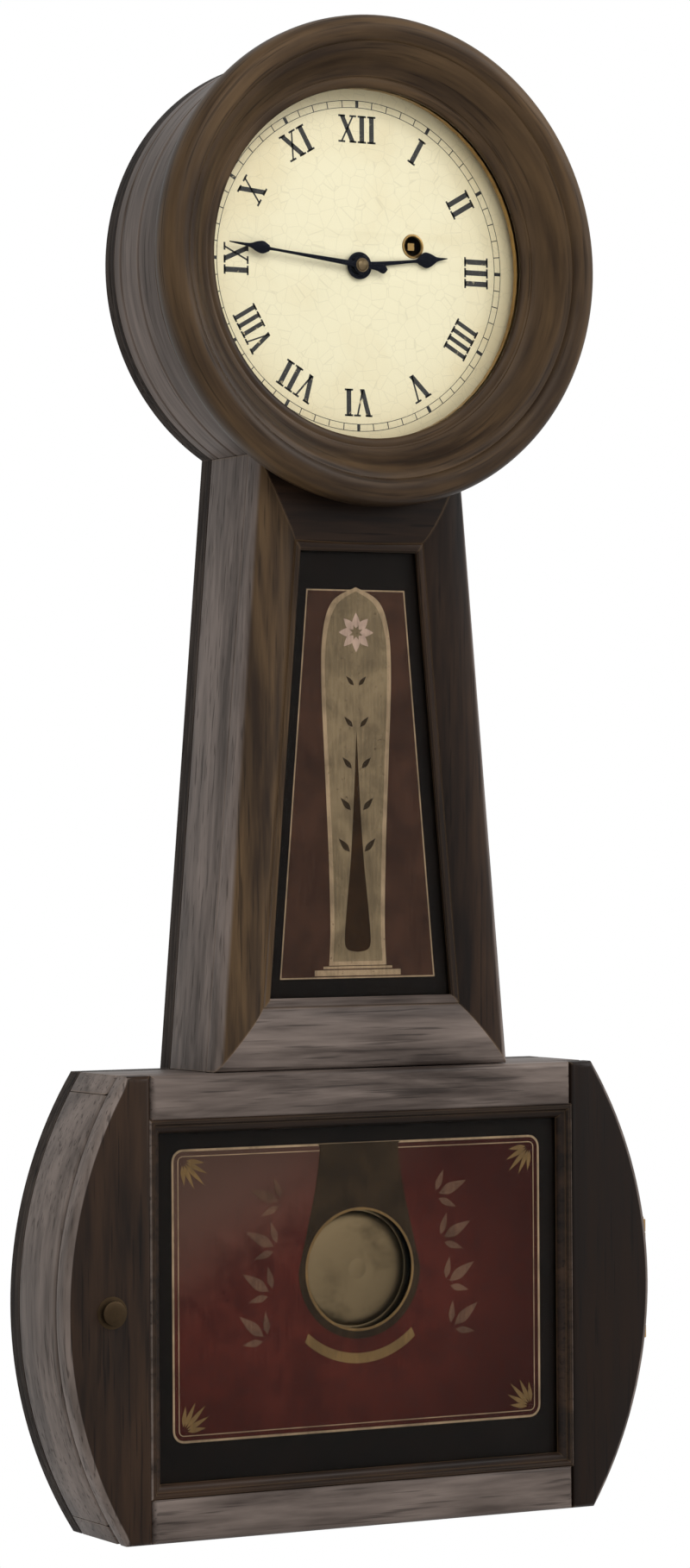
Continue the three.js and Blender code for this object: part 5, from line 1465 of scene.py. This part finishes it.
def corner_fans():
    """Five leaves in each corner of the door's border."""
    inset = 5.2 * MM
    reaches = (10 * MM, 13 * MM, 15 * MM, 13 * MM, 10 * MM)
    x = glass_high.x - DOOR_RIM - inset
    corners = ((glass_high.z - DOOR_RIM - inset, math.radians(225)),
               (glass_low.z + DOOR_FOOT_RIM + inset, math.radians(-45)))
    fans = []
    for side in (1, -1):
        for z, turn in corners:
            for i, reach in enumerate(reaches):
                lean = turn + (i - 2) * 0.33
                fans.append(leaf(reach, 2.2 * MM, side * x, z, side * lean, 2.6 * MM))
    return fans


def make_door_tablet():
    """A bordered field with a round window over the bob, a band above it and sprays beside it."""
    low, high = glass_low.z, glass_high.z
    wide = glass_high.x
    pane("door", box_outline(-wide, wide, low, high))
    ground = box_outline(-wide + FIT, wide - FIT, low + FIT, high - FIT)
    coat("door", "ground", 0, [ground, window_shape()], "tablet_ground", holes=True)
    field_window = window_shape(1 * MM)
    coat("door", "field", 1, [field_shape(0), field_window], "tablet_field", holes=True)
    for label, inset, line in (("border_0", 0, 1.1 * MM), ("border_3", 3.2 * MM, 0.45 * MM)):
        ring = [field_shape(inset), field_shape(inset + line)]
        coat("door", label, 2, ring, "tablet_line", holes=True)
    band_radius = WINDOW_RADIUS + 5 * MM
    band = smooth([(23 * MM, high - DOOR_RIM - 0.2 * MM), (22 * MM, BOB_Z + 2 * WINDOW_RADIUS),
                   (25 * MM, BOB_Z + 1.3 * WINDOW_RADIUS), (band_radius, BOB_Z)])
    below = arc(band_radius, 0, -QUARTER_TURN, 20, 0, BOB_Z)
    coat("door", "band", 3, [both_sides(band + below[1:]), field_window], "tablet_shade", holes=True)
    coat("door", "ring", 4, [window_shape(1.3 * MM), window_shape()], "gold", holes=True)
    spread = math.radians(42)
    first, last = -QUARTER_TURN - spread, -QUARTER_TURN + spread
    crescent = arc(WINDOW_RADIUS + 17 * MM, first, last, 30, 0, BOB_Z)
    crescent += arc(WINDOW_RADIUS + 14 * MM, last, first, 30, 0, BOB_Z + 2 * MM)
    coat("door", "crescent", 4, [crescent], "gold")
    coat("door", "sprays", 4, door_sprays(), "tablet_leaf_light")
    coat("door", "corner_fans", 4, corner_fans(), "gold")


# Hinges and latch

HINGES = [(f"{door}_hinge_{level}", body) for door, body in (("bezel", "bezel"), ("box", "box_door"))
          for level in ("lower", "upper")]


def make_hinge(name, carrier):
    """One butt hinge: two leaves let in and screwed on, their knuckles and the pin."""
    case_node, door_node = f"{name}_case_leaf", f"{name}_door_leaf"
    axis_x, axis_depth, radius, inner, middle, half = hinge_place(name)
    edge = axis_x - radius - FIT
    gap = LEAF_GAP
    third = half / 3
    spans = {case_node: ((-half, -third - gap), (third + gap, half)),
             door_node: ((-third + gap, third - gap),)}
    soft = 0.25 * MM
    screw_x = inner + (edge - inner) * 0.45
    screw_share = 0.62
    for node, body, way in ((case_node, "case", -1), (door_node, carrier, 1)):
        near, far = sorted((axis_depth + way * gap, axis_depth + way * (gap + LEAF_THICKNESS)))
        outline = [(inner, middle - half), (edge, middle - half)]
        for start, end in spans[node]:
            outline += [(edge, middle + start), (axis_x, middle + start), (axis_x, middle + end),
                        (edge, middle + end)]
        outline += [(edge, middle + half), (inner, middle + half)]
        outline = list(dict.fromkeys(outline))
        parts = [sawn("leaf", [outline], near, far, 0.12 * MM, 2)]
        for start, end in spans[node]:
            barrel = [(0, start), (radius - soft, start), (radius, start + soft), (radius, end - soft),
                      (radius - soft, end), (0, end)]
            parts.append(stood(turned("knuckle", barrel, 32), axis_x, axis_depth, middle))
        piece(f"{node}_brass", joined(node, parts), body, "brass", [node])
        seat = axis_depth + way * (gap + 0.2 * MM)
        screws = [screw_head(1.7 * MM, screw_x, middle + half * share, seat, 0.32 * MM, share,
                             facing_wall=way > 0) for share in (-screw_share, screw_share)]
        piece(f"{node}_screws", joined("screws", screws), body, "steel")
    ball = 1.5 * MM
    pin = [(0, -half - ball * 1.2), (ball * 0.7, -half - ball), (ball, -half - ball * 0.4),
           (ball * 0.8, -half), (ball * 0.8, half), (ball, half + ball * 0.4),
           (ball * 0.7, half + ball), (0, half + ball * 1.2)]
    piece(f"{name}_pin", stood(turned("pin", pin, 24), axis_x, axis_depth, middle), "case",
          "brass_turned")


def make_latch():
    """The door's knob, its shaft and tongue in one piece, and the ring round it on the door."""
    back, front = depths("box_door_latch")
    face = depths("box_door_frame")[1]
    radius = half_size("box_door_latch")[0]
    wide = radius * 0.5
    shaft = wide * 0.8
    steps = ((0.62, 0.3), (0.62, 0.8), (0.5, 1.2), (0.55, 1.5), (0.9, 1.9), (1, 2.5), (0.97, 3.1),
             (0.8, 3.5))
    knob = [(0, back), (shaft, back), (shaft, face + FIT)]
    knob += [(radius * share, face + rise * MM) for share, rise in steps]
    knob += [(radius * 0.45, front + 0.25 * MM), (0, front + 0.3 * MM)]
    reach = BOX_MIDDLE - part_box("box_door_latch")[0].z
    tongue = soft_box(-wide, wide, -reach, wide, wide * 0.6)
    parts = [turned("knob", knob, 64),
             sawn("tongue", [tongue], back, back + TONGUE_THICKNESS, 0.3 * MM)]
    piece("latch_knob_and_tongue", moved(joined("latch", parts), -LATCH_PLACE, 0, BOX_MIDDLE),
          "door_latch", "brass_black", ["box_door_latch"])
    outer, sunk, top = radius * 1.3, face - OVERRUN, face + 0.26 * MM
    section = [(LATCH_HOLE, sunk), (outer, sunk), (outer, face + 0.1 * MM), (radius * 1.15, top),
               (LATCH_HOLE, top)]
    ring = moved(turned("ring", section, 64, closed=True), -LATCH_PLACE, 0, BOX_MIDDLE)
    piece("latch_escutcheon", ring, "box_door", "brass_black")


# Pendulum and weight

PENDULUM_DEPTH = sum(depths("pendulum_bob")) / 2
BOB_RADIUS = half_size("pendulum_bob")[0]
STRIP_END = BOB_Z - BOB_RADIUS + 4 * MM     # the foot of the rod's wooden strip, behind the bob


# The bob's face from its middle to its edge: shares of its radius, and of half its thickness
BOB_FACE = (
    (0, 0.97), (0.12, 0.97), (0.14, 0.93), (0.17, 0.93), (0.19, 0.95), (0.35, 0.9), (0.5, 0.8),
    (0.65, 0.67), (0.78, 0.5), (0.86, 0.36), (0.88, 0.3), (0.9, 0.32), (0.94, 0.3), (0.975, 0.22),
    (1, 0.1))


def make_bob():
    """The bob, a turned disc with the same face on both sides."""
    back, front = depths("pendulum_bob")
    half = (front - back) / 2
    face = [(out * BOB_RADIUS, PENDULUM_DEPTH + lift * half) for out, lift in BOB_FACE]
    rear = [(out * BOB_RADIUS, PENDULUM_DEPTH - lift * half) for out, lift in reversed(BOB_FACE)]
    piece("bob_disc", moved(turned("bob", face + rear, 128), 0, 0, BOB_Z), "pendulum", "brass_dark",
          ["pendulum_bob"])


def make_rod():
    """The wooden strip with its loop round the hand shaft, and the screw at its foot."""
    low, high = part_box("pendulum_rod")
    back, front = PENDULUM_DEPTH - ROD_THICKNESS / 2, PENDULUM_DEPTH + ROD_THICKNESS / 2
    wide, tall, bar = LOOP_HALF_WIDTH, LOOP_HALF_HEIGHT, LOOP_BAR
    loop = soft_box(-wide, wide, -tall, tall, 4 * MM)
    hole = soft_box(bar - wide, wide - bar, bar - tall, tall - bar, 2 * MM)
    slot_half, slot_reach = CRUTCH_HOLE
    crutch = box_outline(-slot_half, slot_half, CRUTCH_HEIGHT - slot_reach,
                         CRUTCH_HEIGHT + slot_reach)
    above = box_outline(-ROD_HALF_WIDTH, ROD_HALF_WIDTH, tall - bar / 2, high.z)
    below = box_outline(-ROD_HALF_WIDTH, ROD_HALF_WIDTH, STRIP_END, bar / 2 - tall)
    strips = [sawn("strip", outlines, back, front, 0.35 * MM)
              for outlines in ([above, crutch], [loop, hole], [below])]
    piece("rod_strip", joined("rod", strips), "pendulum", "inner_upright",
          ["pendulum_rod"])
    pitch, root, crest = 0.7 * MM, 1.15 * MM, 1.4 * MM
    turns = int((STRIP_END + 4 * MM - low.z) / pitch)
    thread = []
    for i in range(turns):
        thread += [(root, low.z + i * pitch), (crest, low.z + (i + 0.5) * pitch)]
    screw = [(0, low.z), *thread, (0, low.z + turns * pitch)]
    piece("rod_screw", stood(turned("screw", screw, 24), 0, PENDULUM_DEPTH, 0), "pendulum",
          "brass_turned")


def make_rating_nut():
    """The knurled nut that the bob stands on."""
    low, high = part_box("rating_nut")
    radius = half_size("rating_nut")[0]
    ridges = 40
    tops = circle(radius, ridges)
    grooves = circle(radius * 0.94, ridges, start=FULL_TURN / ridges / 2)
    grip = [point for pair in zip(tops, grooves) for point in pair]
    nut = sawn("nut", [grip, circle(1.7 * MM, 32)], 0, high.z - low.z, 0.35 * MM, 2)
    piece("rating_nut_knurled", stood(nut, 0, PENDULUM_DEPTH, low.z), "pendulum", "brass_turned",
          ["rating_nut"])


def make_weight():
    """The cast iron weight."""
    low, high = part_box("weight")
    block = soft_box(low.x, high.x, low.z, high.z, 7 * MM, 6)
    casting = sawn("weight", [block], *depths("weight"), 2.2 * MM, 4)
    piece("weight_casting", casting, "weight", "iron", ["weight"])


def make_line_falls():
    """The line's two falls round the pulley, at their rest length; the real falls shorten while the
    weight rises, which this mesh does not follow.
    """
    middle = sum(depths("weight")) / 2
    low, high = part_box("weight_line")
    left, right = low.x + LINE_RADIUS, high.x - LINE_RADIUS
    top = high.z
    reach = (right - left) / 2
    turn_x, turn_z = (left + right) / 2, low.z + LINE_RADIUS + reach
    steps = 40
    path = [(right, top + (turn_z - top) * i / steps) for i in range(steps)]
    path += arc(reach, 0, -math.pi, 36, turn_x, turn_z)
    path += [(left, turn_z + (top - turn_z) * (i + 1) / steps) for i in range(steps)]
    line = rope("falls", [Vector((x, -middle, z)) for x, z in path], LINE_RADIUS, 12)
    falls = piece("line_falls", line, "case", "gut", ["weight_line"])
    lift = next(joint for joint in frame["record"]["behaviour"]["joints"]
                if joint["name"] == "weight_lift")["range_m"][1]
    length = top - low.z
    (length - lift) / length
    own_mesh(falls)


def make_line_turns():
    """The line's turns on the barrel."""
    back, front = depths("line_on_barrel")
    radius = half_size("line_on_barrel")[0] - LINE_RADIUS
    run = front - back - 2 * LINE_RADIUS
    steps = 64
    count = steps * LINE_TURNS
    coil = []
    for ahead in range(count, -1, -1):
        angle = math.pi - FULL_TURN * ahead / steps
        depth = front - LINE_RADIUS - run * ahead / count
        coil.append(Vector((WINDING_X + radius * math.cos(angle), -depth,
                            WINDING_Z + radius * math.sin(angle))))
    piece("line_turns", rope("coil", coil, LINE_RADIUS, 10), "barrel", "gut",
          ["line_on_barrel"])


# Movement and the back

PLATES = ("movement_back_plate", "movement_front_plate", "suspension_bridge")
PILLARS = ("pillar_lower_left", "pillar_lower_right", "pillar_upper_left", "pillar_upper_right")
SOLID_WHEELS = ("great_wheel", "minute_wheel", "hour_wheel", "winding_barrel", "pulley",
                "pulley_stirrup", "bezel_retaining_ring")
FINE_WHEELS = ("center_wheel", "third_wheel", "escape_wheel")
STEEL_NODES = ("cannon_pinion", "anchor", "suspension_spring", "movement_screw_lower",
               "movement_screw_upper")


def make_pillar_screws():
    """The screws that hold the front plate on its pillars."""
    front = depths("movement_front_plate")[1]
    heads = []
    for node in PILLARS:
        slot_turn = 40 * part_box(node)[0].x
        heads.append(screw_head(2.6 * MM, *centre(node), max(front, depths(node)[1]), 1.3 * MM,
                                slot_turn))
    piece("pillar_screws", joined("screws", heads), "case", "steel")


def make_hanger_plate():
    """The iron plate with its keyhole, let into the back and held by three screws."""
    low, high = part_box("hanger_plate")
    middle = centre("hanger_plate")[1]
    round_hole = nearest("hanger_plate", 0, middle)
    slot_half = 2.2 * MM
    start = math.asin(slot_half / round_hole)
    key = arc(round_hole, QUARTER_TURN + start, QUARTER_TURN - start + FULL_TURN, 40, 0, middle)
    key += arc(slot_half, 0, math.pi, 10, 0, middle + 2 * round_hole - slot_half)
    outline = soft_box(low.x, high.x, low.z, high.z, 3 * MM)
    plate = sawn("plate", [outline, key], 0.05 * MM, -low.y, 0.2 * MM, 2)
    piece("hanger_plate_iron", plate, "case", "iron", ["hanger_plate"])
    aside, inset = 9 * MM, 6 * MM
    places = ((0, low.z + inset), (-aside, high.z - inset), (aside, high.z - inset))
    heads = [screw_head(2.4 * MM, x, z, 0.55 * MM, 0.5 * MM, 100 * x, facing_wall=True)
             for x, z in places]
    piece("hanger_screws", joined("screws", heads), "case", "steel")


def soften(node, width=0.25 * MM):
    """Rounds the sharp edges of a CAD node that stays in view."""
    modifier = frame["nodes"][node].modifiers.new("edge", "BEVEL")
    modifier.width = width
    modifier.segments = 2
    modifier.limit_method = "ANGLE"
    modifier.angle_limit = math.radians(48)


def dress_frame():
    """Finishes for the CAD nodes that stay in view, and round edges on the larger ones."""
    rounded = {node: "brass" for node in PLATES + PILLARS + SOLID_WHEELS}
    rounded.update({"throat_glass_bead": "inner_upright", "box_door_glass_bead": "inner_across",
                    "weight_baffle": "inner_upright"})
    sharp = {node: "brass" for node in FINE_WHEELS}
    sharp.update({node: "steel" for node in STEEL_NODES})
    sharp["bezel_glass"] = "glass"
    for node, finish in (rounded | sharp).items():
        mesh = frame["nodes"][node].data
        mesh.materials.clear()
        mesh.materials.append(finishes()[finish])
    for node in rounded:
        soften(node)


# Stage

LIT_POINT = (0, -0.05, -0.28)
KEY_PLACE, KEY_SIZE = (2.1, -1.4, 1.2), 1.4
FILL_PLACE, FILL_SIZE = (-0.5, -2.5, 1.6), 2.0
SENSOR_WIDTH = 36               # in millimetres, as Blender counts it
FLOOR_REACH = 30.0
FLOOR_GAP = 1 * MM
FLOOR_SHADE = (0.8, 0.8, 0.8, 1)
WHITE = (1, 1, 1, 1)
WHITE_SHARE = 0.55              # how much of the floor's white hides the shadow near the clock
SHADOW_NEAR = BOX_WIDE
SHADOW_FAR = 2.4 * BOX_WIDE


def area_light(name, place, size, power):
    """A square lamp that shines at the middle of the clock."""
    light = bpy.data.lights.new(name, "AREA")
    light.shape = "SQUARE"
    light.size = size
    light.energy = power
    lamp = bpy.data.objects.new(name, light)
    lamp.location = place
    lamp.rotation_euler = (Vector(LIT_POINT) - lamp.location).to_track_quat("-Z", "Y").to_euler()
    bpy.context.scene.collection.objects.link(lamp)


def make_camera():
    """The camera as the photo was taken, placed from the front of the dial."""
    stage = bpy.context.scene.clock_stage
    angle = -stage.azimuth
    forward = Vector((math.sin(angle), math.cos(angle), 0))
    right = Vector((math.cos(angle), -math.sin(angle), 0))
    dial_front = Vector((0, -depths("dial")[1], 0))
    camera_data = bpy.data.cameras.new("camera")
    camera_data.lens = stage.lens
    camera_data.sensor_width = SENSOR_WIDTH
    camera = bpy.data.objects.new("camera", camera_data)
    camera.location = (dial_front - forward * stage.distance - right * stage.aside
                       - Vector((0, 0, stage.drop)))
    tilt = Vector((forward.x, forward.y, math.tan(stage.pitch)))
    level = tilt.to_track_quat("-Z", "Y")
    camera.rotation_euler = (level @ Quaternion((0, 0, 1), stage.roll)).to_euler()
    bpy.context.scene.collection.objects.link(camera)
    bpy.context.scene.camera = camera


def make_world(ambient):
    """A world that looks white but lights the clock less, so that the lamps give it its shadows."""
    tree = Tree("studio", bpy.data.worlds.new("studio"))
    rays = tree.node("ShaderNodeLightPath")
    seen = rays["Is Camera Ray"].larger(rays["Is Glossy Ray"] * 0.8)
    seen = seen.larger(rays["Is Transmission Ray"])
    inputs = {"Color": WHITE, "Strength": ambient + seen * (1 - ambient)}
    sky = tree.node("ShaderNodeBackground", {}, inputs)["Background"]
    bpy.context.scene.world = tree.output(sky, "ShaderNodeOutputWorld")


def make_floor():
    """A pale floor that looks white and keeps the clock's shadow close to it."""
    tree = Tree("floor")
    rays = tree.node("ShaderNodeLightPath")
    seen = (rays["Is Camera Ray"] + rays["Is Glossy Ray"] + rays["Is Transmission Ray"]).clamp()
    away = tree.vector_math("LENGTH", tree.node("ShaderNodeTexCoord")["Object"], output="Value")
    pale = tree.node("ShaderNodeBsdfDiffuse", {}, {"Color": FLOOR_SHADE})["BSDF"]
    white = tree.node("ShaderNodeEmission", {}, {"Color": WHITE, "Strength": 1.0})["Emission"]
    cover = seen * (WHITE_SHARE + away.step(SHADOW_NEAR, SHADOW_FAR) * (1 - WHITE_SHARE))
    reach = FLOOR_REACH
    points = [(x, y, BOX_BOTTOM - FLOOR_GAP) for x, y in box_outline(-reach, reach, -reach, reach)]
    floor = bpy.data.objects.new("floor", add_mesh("floor", points, [(0, 1, 2, 3)]))
    floor.data.materials.append(tree.output(tree.covered(cover, pale, white)))
    bpy.context.scene.collection.objects.link(floor)


# Operators

class CLOCK_OT_stage(bpy.types.Operator):
    """Camera, lamps, white world and pale floor."""

    bl_idname = "clock.stage"
    bl_label = "Stage"

    def execute(self, context):
        stage = context.scene.clock_stage
        context.scene.view_settings.view_transform = "Standard"
        make_camera()
        make_world(stage.ambient)
        make_floor()
        area_light("key", KEY_PLACE, KEY_SIZE, stage.key_power)
        area_light("fill", FILL_PLACE, FILL_SIZE, stage.fill_power)
        return {"FINISHED"}


class CLOCK_OT_boards(bpy.types.Operator):
    """Backboard, box boards and the throat's sides."""

    bl_idname = "clock.boards"
    bl_label = "Case boards"

    def execute(self, context):
        make_backboard()
        make_case_boards()
        return {"FINISHED"}


class CLOCK_OT_head(bpy.types.Operator):
    """The head's round wall and its turned, glazed bezel."""

    bl_idname = "clock.head"
    bl_label = "Head and bezel"

    def execute(self, context):
        make_head()
        make_bezel()
        return {"FINISHED"}


class CLOCK_OT_dial(bpy.types.Operator):
    """The dial with its numerals, minute track, screws and winding hole."""

    bl_idname = "clock.dial"
    bl_label = "Dial"

    def execute(self, context):
        make_dial()
        return {"FINISHED"}


class CLOCK_OT_hands(bpy.types.Operator):
    """Hour hand, minute hand and their collet."""

    bl_idname = "clock.hands"
    bl_label = "Hands"

    def execute(self, context):
        make_hands()
        return {"FINISHED"}


class CLOCK_OT_throat(bpy.types.Operator):
    """The throat's frame and its painted glass."""

    bl_idname = "clock.throat"
    bl_label = "Throat"

    def execute(self, context):
        make_throat_frame()
        make_throat_tablet()
        return {"FINISHED"}


class CLOCK_OT_door(bpy.types.Operator):
    """The box's door and its painted glass."""

    bl_idname = "clock.door"
    bl_label = "Box door"

    def execute(self, context):
        make_box_door()
        make_door_tablet()
        return {"FINISHED"}


class CLOCK_OT_hinges(bpy.types.Operator):
    """The hinges of both doors and the box door's latch."""

    bl_idname = "clock.hinges"
    bl_label = "Hinges and latch"

    def execute(self, context):
        for name, carrier in HINGES:
            make_hinge(name, carrier)
        make_latch()
        return {"FINISHED"}


class CLOCK_OT_pendulum(bpy.types.Operator):
    """Bob, rod, screw and rating nut."""

    bl_idname = "clock.pendulum"
    bl_label = "Pendulum"

    def execute(self, context):
        make_bob()
        make_rod()
        make_rating_nut()
        return {"FINISHED"}


class CLOCK_OT_drive(bpy.types.Operator):
    """The cast weight and the line that carries it."""

    bl_idname = "clock.drive"
    bl_label = "Weight and line"

    def execute(self, context):
        make_weight()
        make_line_falls()
        make_line_turns()
        return {"FINISHED"}


class CLOCK_OT_fasteners(bpy.types.Operator):
    """The pillars' screws, and the hanger plate with its own."""

    bl_idname = "clock.fasteners"
    bl_label = "Fasteners"

    def execute(self, context):
        make_pillar_screws()
        make_hanger_plate()
        return {"FINISHED"}


class CLOCK_OT_frame_finishes(bpy.types.Operator):
    """Finishes on the CAD nodes that stay in view."""

    bl_idname = "clock.frame_finishes"
    bl_label = "Frame finishes"

    def execute(self, context):
        dress_frame()
        return {"FINISHED"}


class CLOCK_PT_sidebar(bpy.types.Panel):
    """Lists the operators in the sidebar."""

    bl_idname = "CLOCK_PT_sidebar"
    bl_label = "Banjo clock"
    bl_space_type = "VIEW_3D"
    bl_region_type = "UI"
    bl_category = "Clock"

    def draw(self, context):
        for operator in OPERATORS:
            self.layout.operator(operator.bl_idname)


GROUPS = (ClockColours, ClockSizes, ClockStage)
OPERATORS = (
    CLOCK_OT_stage, CLOCK_OT_boards, CLOCK_OT_head, CLOCK_OT_dial, CLOCK_OT_hands, CLOCK_OT_throat,
    CLOCK_OT_door, CLOCK_OT_hinges, CLOCK_OT_pendulum, CLOCK_OT_drive, CLOCK_OT_fasteners,
    CLOCK_OT_frame_finishes)
CLASSES = GROUPS + OPERATORS + (CLOCK_PT_sidebar,)


def register():
    for cls in CLASSES:
        bpy.utils.register_class(cls)
    bpy.types.Scene.clock_colours = PointerProperty(type=ClockColours)
    bpy.types.Scene.clock_sizes = PointerProperty(type=ClockSizes)
    bpy.types.Scene.clock_stage = PointerProperty(type=ClockStage)


def unregister():
    del bpy.types.Scene.clock_colours
    del bpy.types.Scene.clock_sizes
    del bpy.types.Scene.clock_stage
    for cls in reversed(CLASSES):
        bpy.utils.unregister_class(cls)


def main():
    register()
    for operator in OPERATORS:
        group, name = operator.bl_idname.split(".")
        getattr(getattr(bpy.ops, group), name)()


if __name__ == "__main__":
    main()
